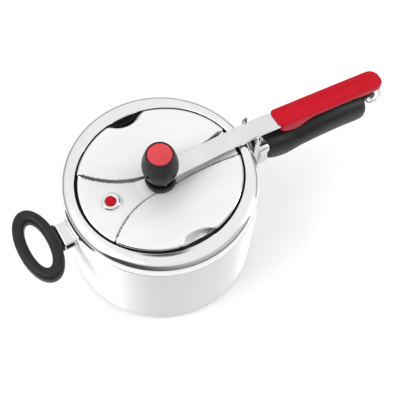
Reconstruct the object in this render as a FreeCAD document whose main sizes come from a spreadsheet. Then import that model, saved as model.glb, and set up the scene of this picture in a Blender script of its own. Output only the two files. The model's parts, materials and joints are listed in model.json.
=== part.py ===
import FreeCAD, Part
import math
import os
import re
import Sketcher
from FreeCAD import Placement, Rotation, Vector

# Stovetop pressure cooker whose oval lid closes from the inside.
# Millimetres. Origin: centre of the pot's underside. +Z up, +X along the long handle.

document = FreeCAD.newDocument("PressureCooker")
sheet = document.addObject("Spreadsheet::Sheet", "Sizes")

DRIVING_SIZES = [
    # pot
    ("pot_radius", 100.0),
    ("pot_height", 140.0),
    ("pot_wall", 2.5),
    ("base_thickness", 3.5),
    ("shoulder_radius", 12.0),
    ("heel_radius", 4.5),
    ("bead_height", 126.0),
    ("bead_depth", 0.5),
    ("rim_slope_radius", 87.0),
    ("rim_inner_radius", 72.0),
    ("rim_drop", 5.5),
    ("mouth_long", 85.6),
    ("mouth_short", 80.0),
    # lid
    ("mouth_gap", 1.3),
    ("flange_reach", 6.3),
    ("flange_top", 130.2),
    ("flange_thickness", 2.0),
    ("gasket_thickness", 4.4),
    ("lid_sheet", 1.8),
    ("lid_side_wall", 2.0),
    ("channel_step", 2.0),
    ("dish_radius", 14.0),
    ("dish_floor", 132.0),
    ("dish_edge_radius", 80.0),
    ("dish_edge", 141.4),
    ("scoop_radius", 34.1),
    ("scoop_offset", 91.0),
    ("scoop_height", 163.5),
    ("fan_arc_radius", 95.0),
    ("fan_waist", 9.5),
    ("track_arc_radius", 300.0),
    ("track_waist", 9.9),
    ("track_arc_x", 20.0),
    ("gasket_lip_top", 137.5),
    ("gasket_lip", 0.5),
    ("gasket_apron_start", 74.5),
    # vent stem, hub and regulator weight
    ("stem_radius", 4.0),
    ("stem_bore", 1.2),
    ("stem_bottom", 121.0),
    ("stem_top", 151.0),
    ("hub_radius", 14.4),
    ("hub_flange", 3.0),
    ("hub_wall_radius", 15.8),
    ("hub_room_radius", 13.4),
    ("hub_wall_top", 139.4),
    ("hub_block_top", 139.5),
    ("hub_pin_height", 137.0),
    ("hub_pin_radius", 1.5),
    ("running_gap", 0.06),
    ("weight_bottom", 147.6),
    ("weight_top", 183.5),
    ("weight_radius", 18.1),
    ("weight_foot_radius", 15.3),
    ("weight_mouth_radius", 13.3),
    ("core_radius", 8.0),
    ("cap_radius", 12.2),
    # safety valve
    ("valve_x", -55.0),
    ("valve_radius", 9.4),
    ("valve_flat", 135.9),
    ("valve_pad_depth", 3.4),
    ("plug_radius", 5.3),
    # lever arm and its red handle
    ("arm_width", 20.0),
    ("arm_thickness", 2.8),
    ("arm_top", 145.3),
    ("arm_bend", 108.0),
    ("arm_end", 250.0),
    ("tail_fall", 0.12),
    ("fulcrum_x", 105.0),
    ("fulcrum_radius", 2.5),
    ("clearance", 0.3),
    ("lid_handle_start", 134.0),
    ("lid_handle_end", 271.0),
    ("lid_handle_half_width", 12.2),
    ("lid_handle_cover", 2.3),
    # long handle of the pot
    ("bracket_half_width", 14.2),
    ("bracket_sheet", 2.0),
    ("bracket_low", 93.0),
    ("bracket_high", 120.0),
    ("ear_top", 149.5),
    ("saddle_sheet", 2.0),
    ("grip_start", 120.5),
    ("grip_end", 250.0),
    ("grip_axis", 103.5),
    ("rivet_radius", 2.0),
    ("rivet_head_radius", 4.0),
    ("rivet_head", 1.2),
    ("rivet_stand", 0.1),
    ("ring_pivot_x", 255.0),
    ("ring_pivot_z", 103.0),
    ("ring_wire", 1.5),
    ("ring_half_width", 13.0),
    # helper handle
    ("helper_x", -134.6),
    ("helper_long", 40.4),
    ("helper_short", 20.4),
    ("helper_hole_long", 26.4),
    ("helper_hole_short", 8.9),
    ("helper_bottom", 110.8),
    ("helper_top", 126.0),
    ("helper_round", 3.5),
    ("strap_low", 107.2),
    ("strap_high", 119.2),
    ("helper_screw_height", 114.1),
    ("helper_screw_radius", 1.5),
    ("helper_bracket_end", 113.0),
    ("helper_bracket_half_width", 12.7),
]

# Stations of the long grip: distance along X, half width, lowest and highest point.
GRIP_STATIONS = [
    (120.5, 18.2, 91.0, 123.5),
    (131.0, 19.0, 85.0, 122.0),
    (144.0, 19.3, 81.0, 119.5),
    (165.0, 19.0, 84.5, 119.0),
    (190.0, 18.8, 83.0, 118.5),
    (215.0, 18.5, 79.5, 117.0),
    (238.0, 18.3, 74.5, 113.5),
    (247.5, 17.6, 73.5, 111.0),
    (250.0, 15.5, 76.0, 108.0),
]
for letter, station in zip("abcdefghi", GRIP_STATIONS):
    for part, number in zip(("along", "half", "low", "high"), station):
        DRIVING_SIZES.append((f"grip_{part}_{letter}", number))

for row, (alias, number) in enumerate(DRIVING_SIZES, start=1):
    sheet.set(f"A{row}", alias)
    sheet.set(f"B{row}", str(number))
    sheet.setAlias(f"B{row}", alias)
document.recompute()

ALIASES = {alias for alias, number in DRIVING_SIZES}
UP = Vector(0, 0, 1)
ALONG_X = Rotation(Vector(0, 1, 0), 90)
ALONG_Y = Rotation(Vector(1, 0, 0), -90)
UPRIGHT = Rotation()
SIDES = (("left", 1), ("right", -1))


def size(alias):
    """The number in the sheet under this alias."""
    return float(sheet.get(alias))


def formula(text):
    """Expression text in which every alias points at the sheet."""
    def pointed(word):
        return f"Sizes.{word.group()}" if word.group() in ALIASES else word.group()

    return re.sub(r"[a-z_]+", pointed, text)


def bind(item, name, text):
    item.setExpression(name, formula(str(text)))


def place(item, x, y, z, rotation=UPRIGHT):
    """Puts a primitive's base point at three formulas, turned by a fixed rotation."""
    item.Placement = Placement(Vector(0, 0, 0), rotation)
    bind(item, "Placement.Base.x", x)
    bind(item, "Placement.Base.y", y)
    bind(item, "Placement.Base.z", z)


def cylinder(name, radius, length, x, y, z, rotation=UPRIGHT):
    item = document.addObject("Part::Cylinder", name)
    bind(item, "Radius", radius)
    bind(item, "Height", length)
    place(item, x, y, z, rotation)
    return item


def box(name, length, width, height, x, y, z):
    item = document.addObject("Part::Box", name)
    bind(item, "Length", length)
    bind(item, "Width", width)
    bind(item, "Height", height)
    place(item, x, y, z)
    return item


def hexagon(name, radius, length, x, y, z, rotation=UPRIGHT):
    item = document.addObject("Part::Prism", name)
    item.Polygon = 6
    bind(item, "Circumradius", radius)
    bind(item, "Height", length)
    place(item, x, y, z, rotation)
    return item


def oval(name, long_half, short_half, bottom, height, x="0"):
    """A prism on an ellipse whose long axis lies along X, or along Y when it is the larger one."""
    curve = document.addObject("Part::Ellipse", name + "_curve")
    bind(curve, "MajorRadius", long_half)
    bind(curve, "MinorRadius", short_half)
    place(curve, x, "0", bottom)
    prism = document.addObject("Part::Extrusion", name)
    prism.Base = curve
    prism.DirMode = "Custom"
    prism.Dir = UP
    prism.Solid = True
    bind(prism, "LengthFwd", height)
    return prism


def cross_oval(name, short_half, long_half, bottom, height, x):
    """The same prism with its long axis across the pot, along Y."""
    prism = oval(name, long_half, short_half, bottom, height, x)
    place(prism.Base, x, "0", bottom, Rotation(UP, 90))
    return prism


def fused(name, items):
    item = document.addObject("Part::MultiFuse", name)
    item.Shapes = items
    item.Refine = True
    return item


def cut(name, base, tool):
    item = document.addObject("Part::Cut", name)
    item.Base = base
    item.Tool = tool
    return item


def common(name, items):
    item = document.addObject("Part::MultiCommon", name)
    item.Shapes = items
    return item


def group(name, items):
    """Identical fasteners as one sub-part of separate solids."""
    item = document.addObject("Part::Compound", name)
    item.Links = items
    return item


def rounded(name, base, radius, chosen):
    """Fillets the edges of a finished shape that the test picks."""
    document.recompute()
    item = document.addObject("Part::Fillet", name)
    item.Base = base
    item.Edges = [(number, radius, radius)
                  for number, edge in enumerate(base.Shape.Edges, start=1) if chosen(edge)]
    return item


def new_body(name):
    return document.addObject("PartDesign::Body", name)


def outline(body, name, role, corners):
    """A closed sketch of straight lines on an origin plane, with each corner bound to two formulas."""
    plane = [item for item in body.Origin.OriginFeatures if item.Role == role][0]
    sketch = body.newObject("Sketcher::SketchObject", name)
    sketch.AttachmentSupport = [(plane, "")]
    sketch.MapMode = "FlatFace"
    count = len(corners)
    spots = [Vector(evaluate(across), evaluate(upward), 0) for across, upward in corners]
    for index in range(count):
        sketch.addGeometry(Part.LineSegment(spots[index], spots[(index + 1) % count]))
    for index in range(count):
        sketch.addConstraint(Sketcher.Constraint("Coincident", index, 2, (index + 1) % count, 1))
    for index, (across, upward) in enumerate(corners):
        distances = (("DistanceX", across, spots[index].x), ("DistanceY", upward, spots[index].y))
        for kind, text, number in distances:
            constraint = sketch.addConstraint(Sketcher.Constraint(kind, -1, 1, index, 1, number))
            sketch.setExpression(f"Constraints[{constraint}]", formula(str(text)))
    return sketch


def evaluate(text):
    """The present value of a formula, for the first drawing of a sketch."""
    return float(sheet.evalExpression(formula(str(text))))


def pad(body, sketch, length):
    """Pads the sketch evenly to both sides of its plane."""
    feature = body.newObject("PartDesign::Pad", sketch.Name + "_pad")
    feature.Profile = sketch
    feature.SideType = "Symmetric"
    bind(feature, "Length", length)
    return feature


def pocket(body, sketch, length):
    """Cuts the sketch evenly to both sides of its plane."""
    document.recompute()
    before = body.Shape.Volume
    feature = body.newObject("PartDesign::Pocket", sketch.Name + "_pocket")
    feature.Profile = sketch
    feature.SideType = "Symmetric"
    bind(feature, "Length", length)
    document.recompute()
    if body.Shape.Volume >= before:
        raise RuntimeError(f"{sketch.Name} cuts nothing")
    return feature


def turned(body, sketch, kind="PartDesign::Revolution"):
    """Turns a sketch on the XZ plane once round the vertical axis of its own plane."""
    feature = body.newObject(kind, sketch.Name + "_turned")
    feature.Profile = sketch
    feature.ReferenceAxis = (sketch, ["V_Axis"])
    feature.Angle = 360
    return feature


def turned_body(name, corners, x="0"):
    """A body of revolution from half its section, moved along X."""
    body = new_body(name)
    turned(body, outline(body, name + "_section", "XZ_Plane", corners))
    place(body, x, "0", "0")
    return body


def ring_edge(radius, height):
    """Picks the circular edge of this radius at this height."""
    def matches(edge):
        curve = edge.Curve
        return (isinstance(curve, Part.Circle) and abs(curve.Radius - radius) < 0.01
                and abs(curve.Center.z - height) < 0.01)
    return matches


# Rivets through the pot wall: bearing about the pot's axis in degrees, and height.
HANDLE_RIVETS = [(12.5, 97.5), (12.5, 114.0), (-12.5, 97.5), (-12.5, 114.0)]
HELPER_RIVETS = [(175.0, 113.2), (185.0, 113.2)]


def radial_cylinder(name, radius, length, distance, bearing, height):
    """A cylinder that points straight out from the pot's axis, at a bearing in degrees."""
    return cylinder(name, radius, length, f"({distance}) * cos({bearing})", f"({distance}) * sin({bearing})",
                    height, Rotation(UP, bearing) * ALONG_X)


def rivet_holes(name, spots):
    return [radial_cylinder(f"{name}_{number}", "rivet_radius", "pot_wall + saddle_sheet + 2",
                            "pot_radius - pot_wall - 1", bearing, height)
            for number, (bearing, height) in enumerate(spots)]


def wall_rivets(name, spots):
    """Rivets through the pot wall and a saddle, as one group."""
    rivets = []
    for number, (bearing, height) in enumerate(spots):
        inside = "pot_radius - pot_wall - rivet_head - rivet_stand"
        rivets.append(fused(f"{name}_{number}", [
            radial_cylinder(f"{name}_shank_{number}", "rivet_radius",
                            "pot_wall + saddle_sheet + rivet_head * 2 + rivet_stand",
                            inside, bearing, height),
            radial_cylinder(f"{name}_head_{number}", "rivet_head_radius", "rivet_head", inside, bearing, height),
            radial_cylinder(f"{name}_tail_{number}", "rivet_head_radius", "rivet_head",
                            "pot_radius + saddle_sheet", bearing, height),
        ]))
    return group(name, rivets)


def make_pot():
    """Drawn pot: flat base, straight wall, round shoulder and a rim that dips to an oval mouth."""
    body = new_body("pot_blank")
    section = outline(body, "pot_section", "XZ_Plane", [
        ("0", "0"),
        ("pot_radius", "0"),
        ("pot_radius", "bead_height"),
        ("pot_radius - bead_depth", "bead_height"),
        ("pot_radius - bead_depth", "bead_height + 1"),
        ("pot_radius", "bead_height + 1"),
        ("pot_radius", "pot_height"),
        ("rim_slope_radius", "pot_height"),
        ("rim_inner_radius", "pot_height - rim_drop"),
        ("rim_inner_radius", "pot_height - rim_drop - pot_wall"),
        ("rim_slope_radius", "pot_height - pot_wall"),
        ("pot_radius - pot_wall", "pot_height - pot_wall"),
        ("pot_radius - pot_wall", "base_thickness"),
        ("0", "base_thickness"),
    ])
    turned(body, section)
    radius, wall, height = size("pot_radius"), size("pot_wall"), size("pot_height")
    outside = rounded("pot_shoulder", body, size("shoulder_radius"), ring_edge(radius, height))
    inside = rounded("pot_inner_shoulder", outside, size("shoulder_radius") - wall,
                     ring_edge(radius - wall, height - wall))
    heel = rounded("pot_heel", inside, size("heel_radius"), ring_edge(radius, 0))
    corner = rounded("pot_inner_heel", heel, size("heel_radius"),
                     ring_edge(radius - wall, size("base_thickness")))
    mouth = oval("mouth", "mouth_long", "mouth_short", "pot_height - 20", "30")
    openings = fused("pot_openings", [mouth] + rivet_holes("pot_hole", HANDLE_RIVETS + HELPER_RIVETS))
    return cut("pot_body", corner, openings)


def conical_cap(drop, name):
    """Everything above the lid's dished top surface, lowered by a drop."""
    return turned_body(name, [
        ("0", f"dish_floor - {drop}"),
        ("dish_radius", f"dish_floor - {drop}"),
        ("dish_edge_radius", f"dish_edge - {drop}"),
        ("dish_edge_radius + 20", f"dish_edge - {drop} + 20 * (dish_edge - dish_floor)"
                                  " / (dish_edge_radius - dish_radius)"),
        ("dish_edge_radius + 20", "dish_edge + 20"),
        ("0", "dish_edge + 20"),
    ])


# Half widths of the lid's raised part.
LID_LONG = "mouth_long - mouth_gap"
LID_SHORT = "mouth_short - mouth_gap"


def scooped_prism(name, inset, bottom, height):
    """Oval prism of the lid's raised part, less the two round scoops on its long sides."""
    block = oval(name + "_oval", f"{LID_LONG} - {inset}", f"{LID_SHORT} - {inset}", bottom, height)
    return cut(name, block, fused(name + "_scoops", scoop_balls(name, f"scoop_radius + {inset}")))


def scoop_balls(name, radius):
    """The two balls whose surfaces are the finger scoops."""
    balls = []
    for side, sign in SIDES:
        ball = document.addObject("Part::Sphere", f"{name}_scoop_{side}")
        bind(ball, "Radius", radius)
        place(ball, "0", f"{sign} * scoop_offset", "scoop_height")
        balls.append(ball)
    return balls


def panel_blocks():
    """Plan of the two raised side panels: a wide fan opens towards -X, a narrow track towards +X."""
    blocks = []
    for side, sign in SIDES:
        fan = cylinder(f"fan_{side}", "fan_arc_radius", "60", "0",
                       f"{sign} * (fan_arc_radius + fan_waist)", "100")
        track = cylinder(f"track_{side}", "track_arc_radius", "60", "track_arc_x",
                         f"{sign} * (track_arc_radius + track_waist)", "100")
        back = box(f"fan_half_{side}", "100", "240", "60", "-100", "-120", "100")
        front = box(f"track_half_{side}", "100", "240", "60", "0", "-120", "100")
        blocks += [common(f"fan_panel_{side}", [fan, back]), common(f"track_panel_{side}", [track, front])]
    return fused("panels", blocks)


def make_lid():
    """Pressed oval lid: flange under the rim, dished top, sunken channel and two finger scoops."""
    raised = scooped_prism("lid_block", "0", "flange_top - flange_thickness", "30")
    hollow = scooped_prism("lid_hollow", "lid_side_wall", "flange_top - flange_thickness - 1", "31")
    flange = oval("lid_flange", f"{LID_LONG} + flange_reach", f"{LID_SHORT} + flange_reach",
                  "flange_top - flange_thickness", "flange_thickness")
    raised_panels = cut("raised_panels", panel_blocks(),
                        cylinder("hub_seat", "hub_wall_radius + 0.6", "60", "0", "0", "100"))
    above_channel = cut("above_channel", conical_cap("channel_step", "lowered_cap"), raised_panels)
    above_valve = cylinder("above_valve", "valve_radius + 1", "30", "valve_x", "0", "valve_flat")
    above = fused("above_lid", [conical_cap("0", "panel_cap"), above_channel, above_valve])
    kept_hollow = cut("lid_hollow_room", hollow, conical_cap("(channel_step + lid_sheet)", "sheet_cap"))
    dished = cut("lid_dished", fused("lid_with_flange", [raised, flange]), above)
    shell = cut("lid_shell", dished, kept_hollow)
    valve_pad = cylinder("valve_pad", "valve_radius + 1", "valve_pad_depth", "valve_x", "0",
                         "valve_flat - valve_pad_depth")
    holes = fused("lid_holes", [
        cylinder("stem_hole", "stem_radius", "60", "0", "0", "100"),
        cylinder("valve_hole", "valve_radius - 2.4", "60", "valve_x", "0", "100"),
    ])
    return cut("lid_plate", fused("lid_with_pad", [shell, valve_pad]), holes)


def make_gasket():
    """Oval rubber ring on the flange, with a lip up the lid's side and an apron on each scoop's floor."""
    ring = oval("gasket_ring", f"{LID_LONG} + flange_reach - 0.6", f"{LID_SHORT} + flange_reach - 0.6",
                "flange_top", "gasket_thickness")
    lip = oval("gasket_lip_blank", f"{LID_LONG} + gasket_lip", f"{LID_SHORT} + gasket_lip",
               "flange_top", "gasket_lip_top - flange_top")
    soft_ball = fused("gasket_scoops", scoop_balls("gasket", "scoop_radius - 1"))
    blank = cut("gasket_blank", fused("gasket_whole", [ring, lip]), soft_ball)
    apron = []
    for side, sign in SIDES:
        start = "gasket_apron_start" if sign > 0 else "0 - gasket_apron_start - 40"
        apron.append(box(f"apron_{side}", "200", "40", "60", "-100", start, "100"))
    core = scooped_prism("gasket_hole", "0", "flange_top - 1", "30")
    sole = oval("apron_oval", LID_LONG, LID_SHORT, "flange_top", "gasket_lip_top - flange_top")
    layer = cut("apron_layer", sole, fused("apron_parts", [core, soft_ball]))
    patch = common("gasket_patches", [fused("apron_boxes", apron), layer])
    bore = oval("gasket_bore", LID_LONG, LID_SHORT, "flange_top - 1", "30")
    return fused("gasket", [cut("gasket_outer", blank, bore), patch])


def make_stem_and_hub():
    """Vent stem through the lid with its nut, and the black cup-shaped hub that the lever arm holds."""
    seat = "dish_floor - channel_step"
    under = "dish_floor - channel_step - lid_sheet"
    stem = cut("vent_stem",
               cylinder("stem_rod", "stem_radius", "stem_top - stem_bottom", "0", "0", "stem_bottom"),
               cylinder("stem_duct", "stem_bore", "stem_top - stem_bottom + 2", "0", "0",
                        "stem_bottom - 1"))
    washer = cut("stem_washer", cylinder("washer_disc", "9", "1", "0", "0", f"{under} - 1"),
                 cylinder("washer_hole", "stem_radius", "3", "0", "0", f"{under} - 2"))
    nut = cut("stem_nut", hexagon("nut_hexagon", "7.5", "4", "0", "0", f"{under} - 5"),
              cylinder("nut_hole", "stem_radius", "6", "0", "0", f"{under} - 6"))
    block = box("hub_block", "12", "15.8", f"hub_block_top - ({seat})", "-6", "-7.9", seat)
    cup = turned_body("hub_cup", [
        ("0", seat),
        ("hub_radius", seat),
        ("hub_wall_radius", "hub_pin_height"),
        ("hub_wall_radius", "hub_wall_top"),
        ("hub_room_radius", "hub_wall_top"),
        ("hub_room_radius", f"{seat} + hub_flange"),
        ("0", f"{seat} + hub_flange"),
    ])
    blank = fused("hub_blank", [cup, block])
    bores = fused("hub_bores", [
        cylinder("hub_bore", "stem_radius", "40", "0", "0", "110"),
        cylinder("hub_pin_bore", "hub_pin_radius + running_gap", "22", "0", "-11", "hub_pin_height",
                 ALONG_Y),
    ])
    return [stem, washer, nut, cut("lid_hub", blank, bores)]


def make_arm():
    """Flat strip from the hub over the rim, bent down where it runs into the red handle."""
    body = new_body("arm_blank")
    tail = "arm_top - (arm_end - arm_bend) * tail_fall"
    sketch = outline(body, "arm_side", "XZ_Plane", [
        ("0", "arm_top - arm_thickness"),
        ("arm_bend", "arm_top - arm_thickness"),
        ("arm_end", f"{tail} - arm_thickness"),
        ("arm_end", tail),
        ("arm_bend", "arm_top"),
        ("0", "arm_top"),
    ])
    pad(body, sketch, "arm_width")
    nose = cylinder("arm_nose", "arm_width / 2", "arm_thickness", "0", "0", "arm_top - arm_thickness")
    holes = [cylinder("arm_stem_hole", "stem_radius + 2", "20", "0", "0", "arm_top - 10")]
    holes += [cylinder(f"arm_rivet_hole_{side}", "1.6", "20", "12.5", 5 * sign, "arm_top - 10")
              for side, sign in SIDES]
    holes += [cylinder(f"arm_screw_hole_{x:.0f}", "1.6", "40", x, "0", "arm_top - 35")
              for x in HANDLE_SCREWS]
    return cut("lever_arm", fused("arm_strip", [body, nose]), fused("arm_holes", holes))


HANDLE_SCREWS = (150.0, 235.0)


def tail_top(x):
    """Formula for the height of the arm's upper face in its sloping tail."""
    return f"arm_top - ({x} - arm_bend) * tail_fall"


def make_clevis():
    """Small stirrup riveted under the arm; two pins through its lugs carry the hub."""
    under = "arm_top - arm_thickness"
    plate = box("clevis_plate", "23", "20.4", "1.8", "-7", "-10.2", f"{under} - 1.8")
    lugs = []
    for side, edge in (("left", "8.2"), ("right", "-10.2")):
        drop = f"{under} - 1.8 - hub_pin_height"
        lugs.append(box(f"lug_{side}", "6.8", "2", drop, "-3.4", edge, "hub_pin_height"))
        lugs.append(cylinder(f"lug_end_{side}", "3.4", "2", "0", edge, "hub_pin_height", ALONG_Y))
    holes = [
        cylinder("clevis_stem_hole", "stem_radius + 2", "20", "0", "0", "130"),
        cylinder("clevis_pin_hole", "hub_pin_radius", "30", "0", "-15", "hub_pin_height", ALONG_Y),
    ]
    holes += [cylinder(f"clevis_rivet_hole_{side}", "1.6", "20", "12.5", 5 * sign, "130")
              for side, sign in SIDES]
    clevis = cut("arm_clevis", fused("clevis_blank", [plate] + lugs), fused("clevis_holes", holes))
    rivets = []
    for side, sign in SIDES:
        shank = cylinder(f"clevis_rivet_shank_{side}", "1.6", "arm_thickness + 1.8", "12.5", 5 * sign,
                         f"{under} - 1.8")
        foot = cylinder(f"clevis_rivet_foot_{side}", "2.6", "0.9", "12.5", 5 * sign, f"{under} - 2.7")
        rivets.append(fused(f"clevis_rivet_{side}", [shank, foot]))
    pins = [cylinder("hub_pin_left", "hub_pin_radius", "5.8", "0", "5", "hub_pin_height", ALONG_Y),
            cylinder("hub_pin_right", "hub_pin_radius", "5.8", "0", "-10.8", "hub_pin_height", ALONG_Y)]
    return [clevis, group("clevis_rivets", rivets), group("hub_pins", pins)]


def make_lid_handle(arm):
    """Red moulding over the arm's tail, with a deep skirt behind its inner end."""
    body = new_body("lid_handle_side")
    rise = "lid_handle_cover"
    sketch = outline(body, "lid_handle_profile", "XZ_Plane", [
        ("lid_handle_start", f"{tail_top('lid_handle_start')} + {rise}"),
        ("lid_handle_end - 8", f"{tail_top('lid_handle_end')} + {rise} + 1"),
        ("lid_handle_end", f"{tail_top('lid_handle_end')} + {rise} - 1"),
        ("lid_handle_end", f"{tail_top('lid_handle_end')} - 4.5"),
        ("lid_handle_start + 111", f"{tail_top('lid_handle_start + 111')} - 5.5"),
        ("lid_handle_start + 95", f"{tail_top('lid_handle_start + 95')} - 3.2"),
        ("lid_handle_start + 43", f"{tail_top('lid_handle_start + 43')} - 3.6"),
        ("lid_handle_start + 34", f"{tail_top('lid_handle_start + 34')} - 6.5"),
        ("lid_handle_start + 26", f"{tail_top('lid_handle_start + 26')} - 12"),
        ("lid_handle_start + 19", f"{tail_top('lid_handle_start + 19')} - 12.8"),
        ("lid_handle_start + 11", f"{tail_top('lid_handle_start + 11')} - 11.2"),
        ("lid_handle_start + 4", f"{tail_top('lid_handle_start + 4')} - 8"),
        ("lid_handle_start", f"{tail_top('lid_handle_start')} - 4"),
    ])
    pad(body, sketch, "lid_handle_half_width * 2")
    slab = box("lid_handle_plan", "lid_handle_end - lid_handle_start", "lid_handle_half_width * 2", "60",
               "lid_handle_start", "0 - lid_handle_half_width", "100")
    start, end = size("lid_handle_start"), size("lid_handle_end")

    def upright_at(x):
        def matches(edge):
            return edge.Length > 50 and all(abs(corner.Point.x - x) < 0.01 for corner in edge.Vertexes)

        return matches

    plan = rounded("lid_handle_plan_inner", slab, 9.0, upright_at(start))
    plan = rounded("lid_handle_plan_outer", plan, 8.0, upright_at(end))
    room = new_body("lid_handle_room")
    room_side = outline(room, "lid_handle_room_side", "XZ_Plane", [
        ("lid_handle_start + 6", tail_top("lid_handle_start + 6")),
        ("arm_end + 1", tail_top("arm_end + 1")),
        ("arm_end + 1", "100"),
        ("lid_handle_start + 6", "100"),
    ])
    pad(room, room_side, "arm_width + 0.2")
    blank = common("lid_handle_blank", [body, plan])
    hollow_handle = cut("lid_handle_hollow", blank, fused("lid_handle_cuts", [room, arm.Base]))
    screws = []
    for x in HANDLE_SCREWS:
        top = tail_top(x)
        shank = cylinder(f"handle_screw_shank_{x:.0f}", "1.5", "arm_thickness + 2.4", x, "0",
                         f"{top} - arm_thickness - 0.8")
        head = cylinder(f"handle_screw_head_{x:.0f}", "3", "1.2", x, "0", f"{top} - arm_thickness - 1.8")
        screws.append(fused(f"handle_screw_{x:.0f}", [shank, head]))
    bores = [cylinder(f"handle_screw_bore_{x:.0f}", "1.5", "10", x, "0", f"{tail_top(x)} - 8.2")
             for x in HANDLE_SCREWS]
    handle = cut("lid_handle", hollow_handle, fused("handle_screw_bores", bores))
    return [handle, group("lid_handle_screws", screws)]


def make_regulator():
    """Weight on the vent stem: steel core and needle, black barrel with four steam slots, red cap."""
    bore = "stem_radius + running_gap"
    core = turned_body("core_blank", [
        (bore, "weight_bottom + 0.6"),
        ("core_radius", "weight_bottom + 0.6"),
        ("core_radius", "weight_top - 6.9"),
        ("core_radius + 1.6", "weight_top - 6.9"),
        ("core_radius + 1.6", "weight_top - 5"),
        ("1.12", "weight_top - 5"),
        ("1.12", "stem_top + 5"),
        (bore, "stem_top + 0.1"),
    ])
    port = cylinder("core_port", "1", "20", "-10", "0", "stem_top + 2.2", ALONG_X)
    core = cut("weight_core", core, port)
    needle = cylinder("weight_needle", "1.12", "weight_top - 6 - stem_top + 1.5", "0", "0",
                      "stem_top - 1.5")
    inner = "core_radius + running_gap"
    barrel = turned_body("barrel_blank", [
        (inner, "weight_bottom"),
        ("weight_foot_radius", "weight_bottom"),
        ("weight_foot_radius + 1.4", "weight_bottom + 4"),
        ("weight_radius - 0.2", "weight_bottom + 9"),
        ("weight_radius", "weight_bottom + 13"),
        ("weight_radius - 0.6", "weight_bottom + 20"),
        ("weight_radius - 2.2", "weight_bottom + 28"),
        ("weight_mouth_radius", "weight_top"),
        ("cap_radius + 0.1", "weight_top"),
        ("cap_radius + 0.1", "weight_top - 7"),
        (inner, "weight_top - 7"),
        (inner, "weight_top - 10"),
        ("weight_mouth_radius", "weight_top - 10"),
        ("weight_mouth_radius", "weight_bottom + 6"),
        ("weight_foot_radius - 3", "weight_bottom + 3"),
        (inner, "weight_bottom + 3"),
    ])
    slots = [box("steam_slot_x", "60", "3", "5.5", "-30", "-1.5", "weight_bottom + 14"),
             box("steam_slot_y", "3", "60", "5.5", "-1.5", "-30", "weight_bottom + 14")]
    cross = fused("steam_slots_blank", slots)
    cross.Placement = Placement(Vector(0, 0, 0), Rotation(UP, 10))
    ring = cut("steam_slots", cross, cylinder("slot_stop", "weight_mouth_radius - 1", "20", "0", "0",
                                              "weight_bottom + 8"))
    shell = cut("weight_shell", barrel, ring)
    cap = rounded("weight_cap", cylinder("cap_disc", "cap_radius", "3", "0", "0", "weight_top - 2.6"), 1.0,
                  ring_edge(size("cap_radius"), size("weight_top") + 0.4))
    return [core, needle, shell, cap]


def make_safety_valve():
    """Metal seat clamped through the lid and the red plug that lifts out of it."""
    top = "valve_flat + 2.6"
    seat = turned_body("safety_seat", [
        ("plug_radius - 1.8", f"{top} - 11"),
        ("valve_radius - 2.4", f"{top} - 11"),
        ("valve_radius - 2.4", f"{top} - 2.6"),
        ("valve_radius", f"{top} - 2.6"),
        ("valve_radius", f"{top} - 1"),
        ("valve_radius - 1", top),
        ("plug_radius + clearance", top),
        ("plug_radius + clearance", f"{top} - 2.2"),
        ("plug_radius - 1.8", f"{top} - 2.2"),
    ], "valve_x")
    plug = turned_body("safety_plug", [
        ("0", f"{top} - 17"),
        ("plug_radius - 0.9", f"{top} - 17"),
        ("plug_radius - 0.9", f"{top} - 15.5"),
        ("plug_radius - 2.1", f"{top} - 15.5"),
        ("plug_radius - 2.1", f"{top} - 2"),
        ("plug_radius", f"{top} - 2"),
        ("plug_radius", f"{top} + 0.3"),
        ("plug_radius - 0.8", f"{top} + 1"),
        ("0", f"{top} + 1.2"),
    ], "valve_x")
    under = "valve_flat - valve_pad_depth"
    nut = cut("safety_nut", hexagon("safety_nut_hexagon", "10", "3", "valve_x", "0", f"{under} - 3"),
              cylinder("safety_nut_hole", "valve_radius - 2.4", "5", "valve_x", "0", f"{under} - 4"))
    return [seat, plug, nut]


def wall_saddle(name, half_width, low, height, side, spots):
    """Curved plate that lies against the pot wall, on the +X (side 1) or -X (side -1) side."""
    ring = cut(name + "_ring",
               cylinder(name + "_outer", "pot_radius + saddle_sheet", height, "0", "0", low),
               cylinder(name + "_inner", "pot_radius", f"{height} + 2", "0", "0", f"{low} - 1"))
    start = "50" if side > 0 else "-150"
    window = box(name + "_window", "100", f"2 * {half_width}", height, start, f"0 - {half_width}", low)
    holes = fused(name + "_holes", rivet_holes(name + "_hole", spots))
    return cut(name, common(name + "_plain", [ring, window]), holes)


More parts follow.
